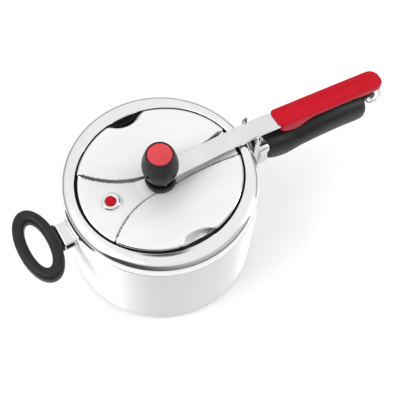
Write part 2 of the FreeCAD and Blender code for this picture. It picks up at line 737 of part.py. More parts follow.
def make_handle_bracket():
    """Folded channel on the pot wall: ears beside the arm in front, a tongue inside the grip behind."""
    back = "pot_radius + saddle_sheet - 0.1"
    pin_height = "arm_top - arm_thickness - clearance - fulcrum_radius"
    body = new_body("bracket_blank")
    side = outline(body, "bracket_side", "XZ_Plane", [
        (back, "bracket_low"),
        ("grip_start - 1", "bracket_low"),
        ("grip_start - 1", "bracket_low + 2"),
        ("grip_start + 29", "bracket_low + 2"),
        ("grip_start + 29", "bracket_high - 8"),
        ("grip_start - 1", "bracket_high - 8"),
        ("grip_start - 1", "bracket_high"),
        ("fulcrum_x + 4", "bracket_high"),
        ("fulcrum_x + 4", "ear_top - 3"),
        ("fulcrum_x + 2", "ear_top"),
        ("fulcrum_x - 1.5", "ear_top"),
        (back, "ear_top - 2"),
    ])
    pad(body, side, "bracket_half_width * 2")
    room = outline(body, "bracket_room", "XZ_Plane", [
        ("pot_radius", "bracket_low + bracket_sheet"),
        ("grip_start + 27", "bracket_low + bracket_sheet"),
        ("grip_start + 27", "ear_top + 1"),
        ("pot_radius", "ear_top + 1"),
    ])
    pocket(body, room, "(bracket_half_width - bracket_sheet) * 2")
    holes = fused("bracket_holes", [
        cylinder("bracket_bolt_hole", "3.2", "40", "grip_start + 10", "0", "grip_axis", ALONG_X),
        cylinder("bracket_pin_hole", "fulcrum_radius", "40", "fulcrum_x", "-20", pin_height, ALONG_Y),
    ])
    bracket = cut("handle_bracket", body, holes)
    pin = cylinder("fulcrum_pin", "fulcrum_radius", "bracket_half_width * 2 + 2", "fulcrum_x",
                   "0 - bracket_half_width - 1", pin_height, ALONG_Y)
    saddle = wall_saddle("handle_saddle", "30", "89", "33", 1, HANDLE_RIVETS)
    rivets = wall_rivets("handle_rivets", HANDLE_RIVETS)
    sleeve = box("sleeve_outer", "grip_start - fulcrum_x - 4.3", "32.6", "bracket_high - bracket_low + 4",
                 "fulcrum_x + 4.3", "-16.3", "bracket_low - 2")
    sleeve = rounded("sleeve_rounded", sleeve, 6.0,
                     lambda edge: abs(edge.tangentAt(edge.FirstParameter).x) > 0.99)
    bore = box("sleeve_bore", "40", "28.6", "bracket_high - bracket_low + 0.4", "fulcrum_x", "-14.3",
               "bracket_low - 0.2")
    return [saddle, bracket, cut("handle_ferrule", sleeve, bore), rivets, pin]


def make_grip():
    """Black moulded grip with a belly behind its front end and a nose that carries the ring."""
    wires = []
    for letter in "abcdefghi":
        x, half_width = size(f"grip_along_{letter}"), size(f"grip_half_{letter}")
        low, high = size(f"grip_low_{letter}"), size(f"grip_high_{letter}")
        middle, half_height = (low + high) / 2, (high - low) / 2
        long_half, short_half = max(half_width, half_height), min(half_width, half_height)
        ellipse = Part.Ellipse(Vector(0, 0, 0), long_half, short_half).toShape()
        turn = Rotation(Vector(0, 1, 0), Vector(0, 0, 1), Vector(1, 0, 0)) if half_width >= half_height \
            else Rotation(Vector(0, 0, 1), Vector(0, -1, 0), Vector(1, 0, 0))
        ellipse.Placement = Placement(Vector(x, 0, middle), turn)
        wires.append(Part.Wire([ellipse]))
    loft = Part.makeLoft(wires, True, False)
    grip_form = document.addObject("Part::Feature", "grip_form")
    grip_form.Shape = loft
    nose = box("grip_nose", "24", "16", "13", "ring_pivot_x - 12", "-8", "ring_pivot_z - 6.5")
    nose = rounded("grip_nose_rounded", nose, 5.0, lambda edge: edge.Length < 20 and all(
        abs(corner.Point.x - size("ring_pivot_x") - 12) < 0.01 for corner in edge.Vertexes)
        and abs(edge.tangentAt(edge.FirstParameter).z) > 0.99)
    bores = fused("grip_bores", [
        box("tongue_pocket", "31", "28.8", "bracket_high - bracket_low - 9.2", "grip_start - 1", "-14.4",
            "bracket_low + 1.6"),
        cylinder("grip_bolt_bore", "3.2", "30", "grip_start + 28", "0", "grip_axis", ALONG_X),
        cylinder("grip_insert_bore", "5", "14", "grip_start + 54", "0", "grip_axis", ALONG_X),
        cylinder("grip_bush_bore", "3.5", "40", "ring_pivot_x", "-20", "ring_pivot_z", ALONG_Y),
    ])
    grip = cut("pot_handle", fused("grip_blank", [grip_form, nose]), bores)
    bolt = fused("grip_bolt", [
        cylinder("grip_bolt_shank", "3", "42", "grip_start + 25", "0", "grip_axis", ALONG_X),
        hexagon("grip_bolt_head", "5.2", "4", "grip_start + 23", "0", "grip_axis", ALONG_X),
    ])
    insert = cut("grip_insert",
                 cylinder("insert_body", "5", "14", "grip_start + 54", "0", "grip_axis", ALONG_X),
                 cylinder("insert_thread", "3", "20", "grip_start + 50", "0", "grip_axis", ALONG_X))
    sleeve = fused("bush_blank", [
        cylinder("bush_tube", "3.5", "17", "ring_pivot_x", "-8.5", "ring_pivot_z", ALONG_Y),
        cylinder("bush_flange_left", "4.6", "1.4", "ring_pivot_x", "8", "ring_pivot_z", ALONG_Y),
        cylinder("bush_flange_right", "4.6", "1.4", "ring_pivot_x", "-9.4", "ring_pivot_z", ALONG_Y),
    ])
    bush = cut("ring_bush", sleeve,
               cylinder("bush_bore", "ring_wire + running_gap", "30", "ring_pivot_x", "-15", "ring_pivot_z",
                        ALONG_Y))
    return [grip, bolt, insert, bush]


def make_hang_ring():
    """Steel wire bail: both ends turn into the bush, the loop goes round the grip's nose."""
    x, z, half = size("ring_pivot_x"), size("ring_pivot_z"), size("ring_half_width")
    bend = 3.0
    loop_x = x + 8
    corner = bend * (1 - math.sqrt(0.5))

    def side(sign):
        end = Part.LineSegment(Vector(x, 3 * sign, z), Vector(x, (half - bend) * sign, z))
        turn = Part.Arc(Vector(x, (half - bend) * sign, z), Vector(x + corner, (half - corner) * sign, z),
                        Vector(x + bend, half * sign, z))
        leg = Part.LineSegment(Vector(x + bend, half * sign, z), Vector(loop_x, half * sign, z))
        return [end.toShape(), turn.toShape(), leg.toShape()]

    bow = Part.Arc(Vector(loop_x, half, z), Vector(loop_x + half, 0, z), Vector(loop_x, -half, z)).toShape()
    path = Part.Wire(side(1) + [bow] + side(-1)[::-1])
    profile = Part.Wire([Part.Circle(Vector(x, 3, z), Vector(0, 1, 0), size("ring_wire")).toShape()])
    ring = document.addObject("Part::Feature", "hang_ring")
    ring.Shape = path.makePipeShell([profile], True, False)
    return ring


def make_helper():
    """Oval ring handle opposite the long one, with its folded bracket, screw, nut and rivets."""
    height = "helper_top - helper_bottom"
    ring = cross_oval("helper_outer", "helper_short", "helper_long", "helper_bottom", height, "helper_x")
    boss = box("helper_boss", "8", "29", "strap_high - helper_bottom - 0.5",
               "0 - helper_bracket_end - 8", "-14.5", "helper_bottom + 0.5")
    hole = cross_oval("helper_hole", "helper_hole_short", "helper_hole_long", "helper_bottom - 1",
                      f"{height} + 2", "helper_x")
    document.recompute()

    def round_edge(edge):
        return edge.isClosed()

    soft_ring = rounded("helper_outer_round", ring, size("helper_round"), round_edge)
    middle = "helper_screw_height"
    bore = "helper_screw_radius + 0.1"
    bores = fused("helper_bores", [
        hole,
        cylinder("helper_screw_bore", bore, "30", "-130", "0", middle, ALONG_X),
        cylinder("helper_head_bore", "3.2", "9", "-130", "0", middle, ALONG_X),
    ])
    handle = cut("helper_handle", fused("helper_blank", [soft_ring, boss]), bores)
    body = new_body("helper_strip")
    back = "0 - pot_radius - saddle_sheet + 0.1"
    side = outline(body, "helper_strip_side", "XZ_Plane", [
        (back, "strap_low"),
        ("0 - helper_bracket_end", "strap_low"),
        ("0 - helper_bracket_end", "strap_high"),
        (back, "strap_high"),
    ])
    pad(body, side, "helper_bracket_half_width * 2")
    room = outline(body, "helper_strip_room", "XZ_Plane", [
        (f"{back} + 2", "strap_low + 2"),
        ("2 - helper_bracket_end", "strap_low + 2"),
        ("2 - helper_bracket_end", "strap_high - 2"),
        (f"{back} + 2", "strap_high - 2"),
    ])
    pocket(body, room, "helper_bracket_half_width * 2 + 2")
    saddle = wall_saddle("helper_saddle", "helper_bracket_half_width", "strap_low - 3.5",
                         "strap_high - strap_low + 6.5", -1, HELPER_RIVETS)
    bracket = cut("helper_bracket", fused("helper_bracket_blank", [body, saddle]),
                  cylinder("helper_bracket_bore", bore, "10", "-118", "0", middle, ALONG_X))
    screw = fused("helper_screw", [
        cylinder("helper_screw_shank", "helper_screw_radius", "16", "-122.5", "0", middle, ALONG_X),
        cylinder("helper_screw_head", "3", "2.4", "-123.4", "0", middle, ALONG_X),
    ])
    nut = cut("helper_nut",
              hexagon("helper_nut_hexagon", "3.1", "2.6", "2 - helper_bracket_end", "0", middle, ALONG_X),
              cylinder("helper_nut_hole", "helper_screw_radius", "8", "-112", "0", middle, ALONG_X))
    rivets = wall_rivets("helper_rivets", HELPER_RIVETS)
    return [handle, bracket, screw, nut, rivets]


def all_pieces():
    arm = make_arm()
    pieces = [make_pot(), make_lid(), make_gasket(), arm]
    pieces += make_stem_and_hub() + make_clevis() + make_lid_handle(arm) + make_regulator()
    pieces += make_safety_valve() + make_handle_bracket() + make_grip() + [make_hang_ring()] + make_helper()
    return pieces


def write_parts(pieces):
    """Checks the whole document, then writes one STEP file for each sub-part."""
    document.recompute()
    for item in document.Objects:
        if "Invalid" in item.State or "Error" in item.State:
            raise RuntimeError(f"{item.Name} failed: {item.State}")
    os.makedirs("parts", exist_ok=True)
    for piece in pieces:
        shape = piece.Shape
        if shape.isNull() or not shape.isValid() or not shape.Solids:
            raise RuntimeError(f"{piece.Label} has no valid solid")
        shape.exportStep(os.path.join("parts", piece.Label + ".step"))
        print(f"{piece.Label}: {len(shape.Solids)} solid(s), {shape.Volume / 1000:.2f} cm3")


write_parts(all_pieces())
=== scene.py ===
import json
import math

import bmesh
import bpy
import numpy as np
from mathutils import Matrix, Vector


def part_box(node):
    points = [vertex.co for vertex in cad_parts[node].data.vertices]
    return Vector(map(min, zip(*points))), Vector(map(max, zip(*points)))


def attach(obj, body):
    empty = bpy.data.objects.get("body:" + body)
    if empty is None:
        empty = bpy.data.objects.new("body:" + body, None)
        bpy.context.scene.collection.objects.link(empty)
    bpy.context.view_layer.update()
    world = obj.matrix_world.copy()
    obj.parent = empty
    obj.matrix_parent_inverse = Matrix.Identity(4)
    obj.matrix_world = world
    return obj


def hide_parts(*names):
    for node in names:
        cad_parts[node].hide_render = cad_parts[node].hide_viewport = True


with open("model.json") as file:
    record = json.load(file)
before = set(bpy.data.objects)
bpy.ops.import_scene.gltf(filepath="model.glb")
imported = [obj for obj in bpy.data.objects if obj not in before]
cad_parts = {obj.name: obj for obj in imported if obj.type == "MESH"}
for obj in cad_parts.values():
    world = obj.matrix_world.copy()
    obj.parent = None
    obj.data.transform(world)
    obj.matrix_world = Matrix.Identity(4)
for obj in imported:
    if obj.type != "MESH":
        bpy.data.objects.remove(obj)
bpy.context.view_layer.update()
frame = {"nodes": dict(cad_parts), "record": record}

MM = 0.001
NODES = frame["nodes"]


# ---------------------------------------------------------------- sizes, from the frame

def span(node):
    """Lowest and highest corner of a CAD node, in millimetres."""
    low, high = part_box(node)
    return low / MM, high / MM


POT_HIGH = span("pot_body")[1]
POT_RADIUS = POT_HIGH.x
POT_HEIGHT = POT_HIGH.z
WALL = 2.5
BASE = 3.5
RIM_SLOPE = 5.5 / 15.0
RIM_FLAT_END = 87.0
RIM_BLEND = RIM_FLAT_END + 0.5
MOUTH_LONG = 85.6
MOUTH_SHORT = 80.0
MOUTH_GAP = 1.3

LID_LOW, LID_HIGH = span("lid_plate")
LID_LONG = MOUTH_LONG - MOUTH_GAP
LID_SHORT = MOUTH_SHORT - MOUTH_GAP
FLANGE_REACH = LID_HIGH.x - LID_LONG
FLANGE_LOW = LID_LOW.z
FLANGE_TOP = FLANGE_LOW + 2.0
DISH_FLOOR = FLANGE_TOP + 1.8
DISH_SLOPE = 9.4 / 66.0
DISH_RADIUS = 14.0
SHEET = 1.8
EDGE_ROUND = 4.0

# the two raised panels: an arc round the fan towards the valve, and a flatter one along the arm
CHANNEL_STEP = 3.0
FAN_RADIUS = 95.0
FAN_Y = 104.5
TRACK_RADIUS = 300.0
TRACK_X = 20.0
TRACK_Y = 309.9

# the finger scoops are pressed by a ball
SCOOP_RADIUS = 34.1
SCOOP_Y = 91.0
SCOOP_Z = FLANGE_TOP + 33.3
NO_SCOOP = 400.0

VALVE_X = -55.0
VALVE_FLAT = FLANGE_TOP + 5.7
VALVE_FLAT_RADIUS = 9.8
VALVE_CLEAR = 14.0

ARM_HIGH = span("lever_arm")[1]
ARM_TOP = ARM_HIGH.z
ARM_END = ARM_HIGH.x
ARM_HALF = ARM_HIGH.y
ARM_THICK = 2.8
ARM_BEND = 108.0
TAIL_FALL = 0.12


def arm_top(x):
    """Height of the arm's upper face: level over the lid, then falling inside the red handle."""
    return ARM_TOP - max(0.0, x - ARM_BEND) * TAIL_FALL


def smoothstep(low, high, value):
    """0 below low, 1 above high, and an even S-curve between."""
    share = np.clip((value - low) / (high - low), 0.0, 1.0)
    return share * share * (3.0 - 2.0 * share)


# ---------------------------------------------------------------- mesh helpers

WELD_DISTANCE = 1e-6


def new_object(name, verts, faces, weld):
    """An object from a mesh in millimetres, with its normals facing out."""
    mesh = bpy.data.meshes.new(name)
    mesh.from_pydata([tuple(v) for v in np.asarray(verts, float) * MM], [], faces)
    work = bmesh.new()
    work.from_mesh(mesh)
    if weld:
        bmesh.ops.remove_doubles(work, verts=work.verts, dist=WELD_DISTANCE)
    bmesh.ops.recalc_face_normals(work, faces=work.faces)
    work.to_mesh(mesh)
    work.free()
    item = bpy.data.objects.new(name, mesh)
    bpy.context.scene.collection.objects.link(item)
    return item


def piece(name, verts, faces, body, slot, replaces=(), sharp=35.0):
    """A mesh in millimetres as a finished piece that rides on a body."""
    item = new_object(name, verts, faces, weld=True)
    finish_piece(item, body, slot, replaces, sharp)
    return item


def finish_piece(item, body, slot, replaces=(), sharp=35.0):
    """Shades a piece, gives it its material and says what it rides on and replaces."""
    item.data.polygons.foreach_set("use_smooth", [True] * len(item.data.polygons))
    item.data.set_sharp_from_angle(angle=math.radians(sharp))
    item.data.materials.clear()
    item.data.materials.append(MATERIALS[slot])
    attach(item, body)
    if replaces:
        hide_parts(*replaces)


def loft(rings, closed=False):
    """Quads between rings of equal length, with flat ends unless the rings close on themselves."""
    count = len(rings[0])
    verts = np.concatenate([np.asarray(ring, float) for ring in rings])
    faces = []
    last = len(rings) if closed else len(rings) - 1
    for k in range(last):
        a, b = k * count, ((k + 1) % len(rings)) * count
        for i in range(count):
            j = (i + 1) % count
            faces.append((a + i, a + j, b + j, b + i))
    if not closed:
        faces.append(tuple(range(count))[::-1])
        faces.append(tuple(range((len(rings) - 1) * count, len(rings) * count)))
    return verts, faces


def merged(parts):
    """Several (verts, faces) meshes as one."""
    verts, faces, start = [], [], 0
    for part_verts, part_faces in parts:
        verts.append(np.asarray(part_verts, float))
        faces += [tuple(index + start for index in face) for face in part_faces]
        start += len(part_verts)
    return np.concatenate(verts), faces


def rounded_path(points, closed=True, steps=6):
    """(a, b, radius) corners as a 2-D path with each corner turned into an arc."""
    result = []
    count = len(points)
    for i, (a, b, radius) in enumerate(points):
        here = np.array((a, b), float)
        if radius <= 0 or (not closed and i in (0, count - 1)):
            result.append(here)
            continue
        before = np.array(points[i - 1][:2], float) - here
        after = np.array(points[(i + 1) % count][:2], float) - here
        before /= np.linalg.norm(before)
        after /= np.linalg.norm(after)
        turn = math.pi - math.acos(np.clip(np.dot(before, after), -1, 1))
        reach = radius * math.tan(turn / 2)
        middle = before + after
        middle /= np.linalg.norm(middle)
        centre = here + middle * (radius / math.cos(turn / 2))
        start = here + before * reach - centre
        end = here + after * reach - centre
        for step in range(steps + 1):
            share = step / steps
            angle_start = math.atan2(start[1], start[0])
            sweep = math.atan2(start[0] * end[1] - start[1] * end[0], np.dot(start, end))
            angle = angle_start + sweep * share
            result.append(centre + radius * np.array((math.cos(angle), math.sin(angle))))
    return result


def full_turn(steps):
    """Evenly spaced angles once round."""
    return np.arange(steps) * (2 * math.pi / steps)


def polar_ring(radius, turns, height):
    """A ring of points; radius and height may be one number or one per point."""
    height = np.broadcast_to(height, turns.shape)
    return np.column_stack((radius * np.cos(turns), radius * np.sin(turns), height))


def lathe(profile, steps=96, centre=(0.0, 0.0)):
    """A closed (radius, height) outline turned about a vertical axis."""
    turns = full_turn(steps)
    offset = np.array((centre[0], centre[1], 0.0))
    rings = [polar_ring(radius, turns, height) + offset for radius, height in profile]
    return loft(rings, closed=True)


def spline(points, per_span=8):
    """Catmull-Rom curve through points of any dimension."""
    points = np.asarray(points, float)
    padded = np.vstack((2 * points[0] - points[1], points, 2 * points[-1] - points[-2]))
    result = []
    for i in range(1, len(padded) - 2):
        p0, p1, p2, p3 = padded[i - 1:i + 3]
        for step in range(per_span):
            t = step / per_span
            result.append(0.5 * (2 * p1 + (p2 - p0) * t + (2 * p0 - 5 * p1 + 4 * p2 - p3) * t * t
                                 + (3 * p1 - p0 - 3 * p2 + p3) * t ** 3))
    result.append(points[-1])
    return result


def plate_x(outline, low, high, bevel):
    """An XZ outline (x, z, radius) as a plate between two Y planes, with eased edges."""
    path = rounded_path(outline)
    inner = shrink(path, bevel)
    rings = []
    for y, loop in ((low, inner), (low + bevel, path), (high - bevel, path), (high, inner)):
        rings.append([(x, y, z) for x, z in loop])
    return loft(rings)


def middle_z(node):
    """Height of the middle of a CAD node, in millimetres."""
    low, high = span(node)
    return (low.z + high.z) / 2


def shrink(path, amount):
    """A closed 2-D path moved inwards by an amount."""
    path = np.asarray(path, float)
    area = 0.5 * np.sum(path[:, 0] * np.roll(path[:, 1], -1) - np.roll(path[:, 0], -1) * path[:, 1])
    side = 1.0 if area > 0 else -1.0
    along = np.roll(path, -1, axis=0) - np.roll(path, 1, axis=0)
    along /= np.maximum(np.linalg.norm(along, axis=1), 1e-9)[:, None]
    return path + side * amount * np.column_stack((-along[:, 1], along[:, 0]))


def superellipse(half_a, half_b, power, steps):
    """The two coordinates of a rounded outline: power 2 is an ellipse, more is squarer."""
    turns = full_turn(steps)
    a = half_a * np.sign(np.cos(turns)) * np.abs(np.cos(turns)) ** (2 / power)
    b = half_b * np.sign(np.sin(turns)) * np.abs(np.sin(turns)) ** (2 / power)
    return a, b


def oval_radius(turns, long_half, short_half):
    """Radius of an ellipse at each angle from its long axis."""
    return 1 / np.sqrt((np.cos(turns) / long_half) ** 2 + (np.sin(turns) / short_half) ** 2)


# ---------------------------------------------------------------- materials

class Nodes:
    """A short way to build one material's node tree."""

    def __init__(self, name, base, metallic, roughness, **sockets):
        self.material = bpy.data.materials.new(name)
        self.material.use_nodes = True
        self.tree = self.material.node_tree
        self.shader = self.tree.nodes["Principled BSDF"]
        self.set("Base Color", (*base, 1.0))
        self.set("Metallic", metallic)
        self.set("Roughness", roughness)
        for socket, value in sockets.items():
            self.set(socket.replace("_", " "), value)
        self.place = self.add("ShaderNodeTexCoord").outputs["Object"]

    def set(self, socket, value):
        self.shader.inputs[socket].default_value = value

    def add(self, kind, **values):
        node = self.tree.nodes.new(kind)
        for key, value in values.items():
            if hasattr(node, key):
                setattr(node, key, value)
            else:
                node.inputs[key.replace("_", " ")].default_value = value
        return node

    def link(self, output, target):
        self.tree.links.new(output, target)

    def noise(self, scale, detail=3.0, stretch=(1, 1, 1)):
        """Noise in object space, stretched to make streaks."""
        mapping = self.add("ShaderNodeMapping")
        mapping.inputs["Scale"].default_value = stretch
        self.link(self.place, mapping.inputs["Vector"])
        node = self.add("ShaderNodeTexNoise", Scale=scale, Detail=detail)
        self.link(mapping.outputs["Vector"], node.inputs["Vector"])
        return node.outputs["Fac"]

    def spread(self, value, low, high):
        """Maps a noise texture, which stays mostly within 0.3 to 0.7, to a range."""
        node = self.add("ShaderNodeMapRange")
        node.inputs["From Min"].default_value = 0.3
        node.inputs["From Max"].default_value = 0.7
        node.inputs["To Min"].default_value = low
        node.inputs["To Max"].default_value = high
        self.link(value, node.inputs["Value"])
        return node.outputs["Result"]

    def roughen(self, value, low, high):
        """Varies the roughness between two values by a texture."""
        self.link(self.spread(value, low, high), self.shader.inputs["Roughness"])

    def tint(self, value, dark, light):
        """Varies the base colour between two shades by a texture."""
        ramp = self.add("ShaderNodeMix", data_type="RGBA")
        first, second = [socket for socket in ramp.inputs if socket.type == "RGBA"]
        first.default_value = (*dark, 1.0)
        second.default_value = (*light, 1.0)
        self.link(self.spread(value, 0.0, 1.0), ramp.inputs["Factor"])
        colour = [output for output in ramp.outputs if output.type == "RGBA"][0]
        self.link(colour, self.shader.inputs["Base Color"])

    def bump(self, value, distance_mm, strength=1.0):
        """Raises the surface slightly by a texture."""
        node = self.add("ShaderNodeBump")
        node.inputs["Distance"].default_value = distance_mm * MM
        node.inputs["Strength"].default_value = strength
        self.link(value, node.inputs["Height"])
        self.link(node.outputs["Normal"], self.shader.inputs["Normal"])


def polished_aluminium():
    """Buffed metal: soft smudges and very fine lines from the buffing wheel."""
    look = Nodes("polished_aluminium", (0.80, 0.80, 0.805), 1.0, 0.14)
    look.roughen(look.noise(18, 4, (1, 1, 2.5)), 0.11, 0.18)
    look.tint(look.noise(9, 3), (0.73, 0.732, 0.74), (0.79, 0.79, 0.792))
    look.bump(look.noise(420, 2, (0.12, 0.12, 3.0)), 0.004, 0.2)
    return look.material


def lid_face_metal():
    """Satin finish on the lid's broad faces, with faint streaks across it."""
    look = Nodes("satin_aluminium", (0.68, 0.68, 0.685), 0.25, 0.42)
    look.roughen(look.noise(24, 4, (0.5, 2.5, 1)), 0.36, 0.5)
    look.tint(look.noise(14, 4, (0.4, 2.2, 1)), (0.69, 0.69, 0.695), (0.75, 0.75, 0.755))
    look.bump(look.noise(500, 2, (0.2, 3.0, 1.0)), 0.004, 0.3)
    return look.material


def pot_wall_metal():
    """The same metal on the pot's side, brushed round the pot."""
    look = Nodes("polished_aluminium_wall", (0.88, 0.88, 0.885), 1.0, 0.7, Anisotropic=1.0,
                 Anisotropic_Rotation=0.25)
    tangent = look.add("ShaderNodeTangent", direction_type="RADIAL", axis="Z")
    look.link(tangent.outputs["Tangent"], look.shader.inputs["Tangent"])
    look.roughen(look.noise(160, 3, (0.15, 0.15, 5.0)), 0.66, 0.74)
    look.bump(look.noise(700, 2, (0.08, 0.08, 4.0)), 0.003, 0.2)
    return look.material


def bright_steel():
    """Bright rolled steel, with fine lines along the arm."""
    look = Nodes("bright_steel", (0.82, 0.82, 0.83), 1.0, 0.2)
    look.roughen(look.noise(240, 3, (0.1, 4.0, 2.0)), 0.12, 0.24)
    look.tint(look.noise(30, 3), (0.66, 0.66, 0.67), (0.74, 0.74, 0.745))
    look.bump(look.noise(900, 2, (0.05, 3.0, 3.0)), 0.004, 0.3)
    return look.material


def rivet_aluminium():
    """Plain aluminium with a fine hammered grain."""
    look = Nodes("rivet_aluminium", (0.80, 0.80, 0.81), 1.0, 0.3)
    look.roughen(look.noise(300, 4), 0.24, 0.38)
    look.bump(look.noise(900, 3), 0.01, 0.5)
    return look.material


def brass():
    """Turned brass with slight colour variation."""
    look = Nodes("brass", (0.78, 0.60, 0.30), 1.0, 0.25)
    look.roughen(look.noise(350, 4, (1, 1, 4)), 0.2, 0.34)
    look.tint(look.noise(60, 3), (0.74, 0.55, 0.26), (0.82, 0.65, 0.34))
    return look.material


def black_phenolic():
    """Moulded bakelite: satin, with a fine grain and a slight mottle."""
    look = Nodes("black_phenolic", (0.012, 0.012, 0.013), 0.0, 0.38, Specular_IOR_Level=0.22)
    look.roughen(look.noise(90, 5), 0.32, 0.46)
    look.tint(look.noise(45, 4), (0.009, 0.009, 0.010), (0.016, 0.016, 0.017))
    look.bump(look.noise(1500, 3), 0.03, 0.35)
    return look.material


def red_plastic():
    """Semi-gloss moulded red with faint flow marks along the handle."""
    look = Nodes("red_plastic", (0.47, 0.003, 0.014), 0.0, 0.32, Specular_IOR_Level=0.1)
    look.roughen(look.noise(120, 4, (0.4, 1, 1)), 0.27, 0.4)
    look.tint(look.noise(25, 4, (0.3, 1, 1)), (0.43, 0.002, 0.012), (0.51, 0.004, 0.018))
    look.bump(look.noise(1200, 3), 0.02, 0.3)
    return look.material


def crease_painted_shade():
    """The lid's pressed creases: a darker base colour as painted shade, standing in for the shade and dark
    reflections in the creases.
    """
    look = Nodes("lid_crease_painted_shade", (0.24, 0.24, 0.245), 0.9, 0.3)
    look.roughen(look.noise(300, 4), 0.22, 0.4)
    look.tint(look.noise(90, 4), (0.18, 0.18, 0.185), (0.34, 0.34, 0.345))
    look.bump(look.noise(900, 3), 0.03, 0.3)
    return look.material


def cap_red_painted_light():
    """The weight's cap: the handle's red made paler as painted light, for the light its flat top catches,
    with a soft sheen.
    """
    look = Nodes("red_plastic_cap_painted_light", (0.56, 0.035, 0.045), 0.0, 0.42, Specular_IOR_Level=0.4)
    look.roughen(look.noise(150, 4), 0.36, 0.5)
    look.tint(look.noise(60, 4), (0.52, 0.028, 0.038), (0.60, 0.045, 0.055))
    look.bump(look.noise(1200, 3), 0.02, 0.3)
    return look.material


def gasket_rubber():
    """Matt black rubber with a fine grain."""
    look = Nodes("gasket_rubber", (0.009, 0.009, 0.009), 0.0, 0.6, Specular_IOR_Level=0.15)
    look.roughen(look.noise(200, 4), 0.5, 0.7)
    look.bump(look.noise(900, 4), 0.03, 0.4)
    return look.material


MATERIALS = {
    "polished_aluminium": polished_aluminium(),
    "bright_steel": bright_steel(),
    "rivet_aluminium": rivet_aluminium(),
    "brass": brass(),
    "black_phenolic": black_phenolic(),
    "red_plastic": red_plastic(),
    "gasket_rubber": gasket_rubber(),
}
WALL_METAL = pot_wall_metal()
LID_FACE = lid_face_metal()
# paler red for the cap's flat top: painted light
CAP_RED_PAINTED_LIGHT = cap_red_painted_light()
# painted shade: darker metal standing in for the shade and dark reflections in the lid's creases
CREASE_PAINTED_SHADE = crease_painted_shade()


# ---------------------------------------------------------------- pot

def make_pot():
    """Whole pot as rings from the middle of its underside, over the rim and down to the inside floor."""
    turns = full_turn(320)
    mouth = oval_radius(turns, MOUTH_LONG, MOUTH_SHORT)
    rings = []

    def ring(radius, height):
        rings.append(polar_ring(radius, turns, height))

    groove = POT_RADIUS - 0.45
    outside = rounded_path([
        (0.0, 0.0, 0), (78.0, 0.0, 0.6), (79.0, 0.7, 0.6), (POT_RADIUS, 0.7, 4.2), (POT_RADIUS, 126.0, 0.2),
        (groove, 126.3, 0.2), (groove, 126.9, 0.2), (POT_RADIUS, 127.2, 0.2),
        (POT_RADIUS, POT_HEIGHT, 12.0), (RIM_BLEND, POT_HEIGHT, 0)], closed=False, steps=14)
    for radius, height in outside:
        ring(radius, height)
    lip = WALL / 2
    edge = mouth + lip

    def slope_height(radius):
        """Height of the rim's upper face where it dips towards the mouth."""
        over = RIM_FLAT_END - radius
        return POT_HEIGHT - RIM_SLOPE * 0.5 * (over + np.sqrt(over * over + 1.2)) + 0.1

    for share in np.linspace(0.06, 1.0, 12):
        radius = RIM_BLEND * (1 - share) + edge * share
        ring(radius, slope_height(radius))
    lip_height = slope_height(edge) - lip
    for bend in np.linspace(0.15, 0.95, 8) * math.pi:
        ring(edge - lip * np.sin(bend), lip_height + lip * np.cos(bend))
    for share in np.linspace(0.0, 1.0, 8):
        radius = edge * (1 - share) + RIM_BLEND * share
        ring(radius, slope_height(radius) - WALL)
    inside = rounded_path([
        (RIM_FLAT_END + 1.0, POT_HEIGHT - WALL, 0), (POT_RADIUS - WALL, POT_HEIGHT - WALL, 9.5),
        (POT_RADIUS - WALL, BASE, 4.5), (0.0, BASE, 0)], closed=False, steps=12)
    for radius, height in inside:
        ring(radius, height)
    verts, faces = loft(rings, closed=True)
    pot = piece("pot_shell", verts, faces, "pot", "polished_aluminium", ["pot_body"], sharp=40)
    pot.data.materials.append(WALL_METAL)
    for polygon in pot.data.polygons:
        centre = polygon.center / MM
        if 4.0 < centre.z < 120.0 and math.hypot(centre.x, centre.y) > POT_RADIUS - 1:
            polygon.material_index = 1


# ---------------------------------------------------------------- lid

def ball_height(x, y):
    """Height of the nearer finger scoop's surface, far up outside it."""
    inside = SCOOP_RADIUS ** 2 - x * x - (np.abs(y) - SCOOP_Y) ** 2
    return np.where(inside > 0, SCOOP_Z - np.sqrt(np.maximum(inside, 0)), NO_SCOOP)


def lid_height(x, y, to_edge):
    """Height of the lid's upper face; to_edge is the distance to its side wall."""
    reach = np.hypot(x, y)
    beyond = reach - DISH_RADIUS
    height = DISH_FLOOR + DISH_SLOPE * 0.5 * (beyond + np.sqrt(beyond * beyond + 12.0))
    fan = FAN_RADIUS - np.hypot(x, np.abs(y) - FAN_Y)
    track = TRACK_RADIUS - np.hypot(x - TRACK_X, np.abs(y) - TRACK_Y)
    share = smoothstep(-8.0, 8.0, x)
    inside_panel = smoothstep(-1.5, 1.5, fan * (1 - share) + track * share)
    inside_panel = inside_panel * smoothstep(12.5, 15.5, reach)
    height = height - CHANNEL_STEP * (1 - inside_panel)
    from_valve = np.hypot(x - VALVE_X, y)
    seat = 1 - smoothstep(VALVE_FLAT_RADIUS, VALVE_FLAT_RADIUS + 2.2, from_valve)
    height = height * (1 - seat) + VALVE_FLAT * seat
    ball = ball_height(x, y)
    gap = np.clip((height - ball) / 1.6, -1.0, 1.0)
    blend = 0.4 * (1 - gap * gap) ** 2
    height = np.minimum(height, ball) - np.where(ball < NO_SCOOP, blend, 0) * 0.8
    edge = np.minimum(to_edge, EDGE_ROUND)
    drop = EDGE_ROUND - np.sqrt(np.maximum(EDGE_ROUND ** 2 - (EDGE_ROUND - edge) ** 2, 0))
    return np.maximum(height - drop, FLANGE_TOP + 0.4)


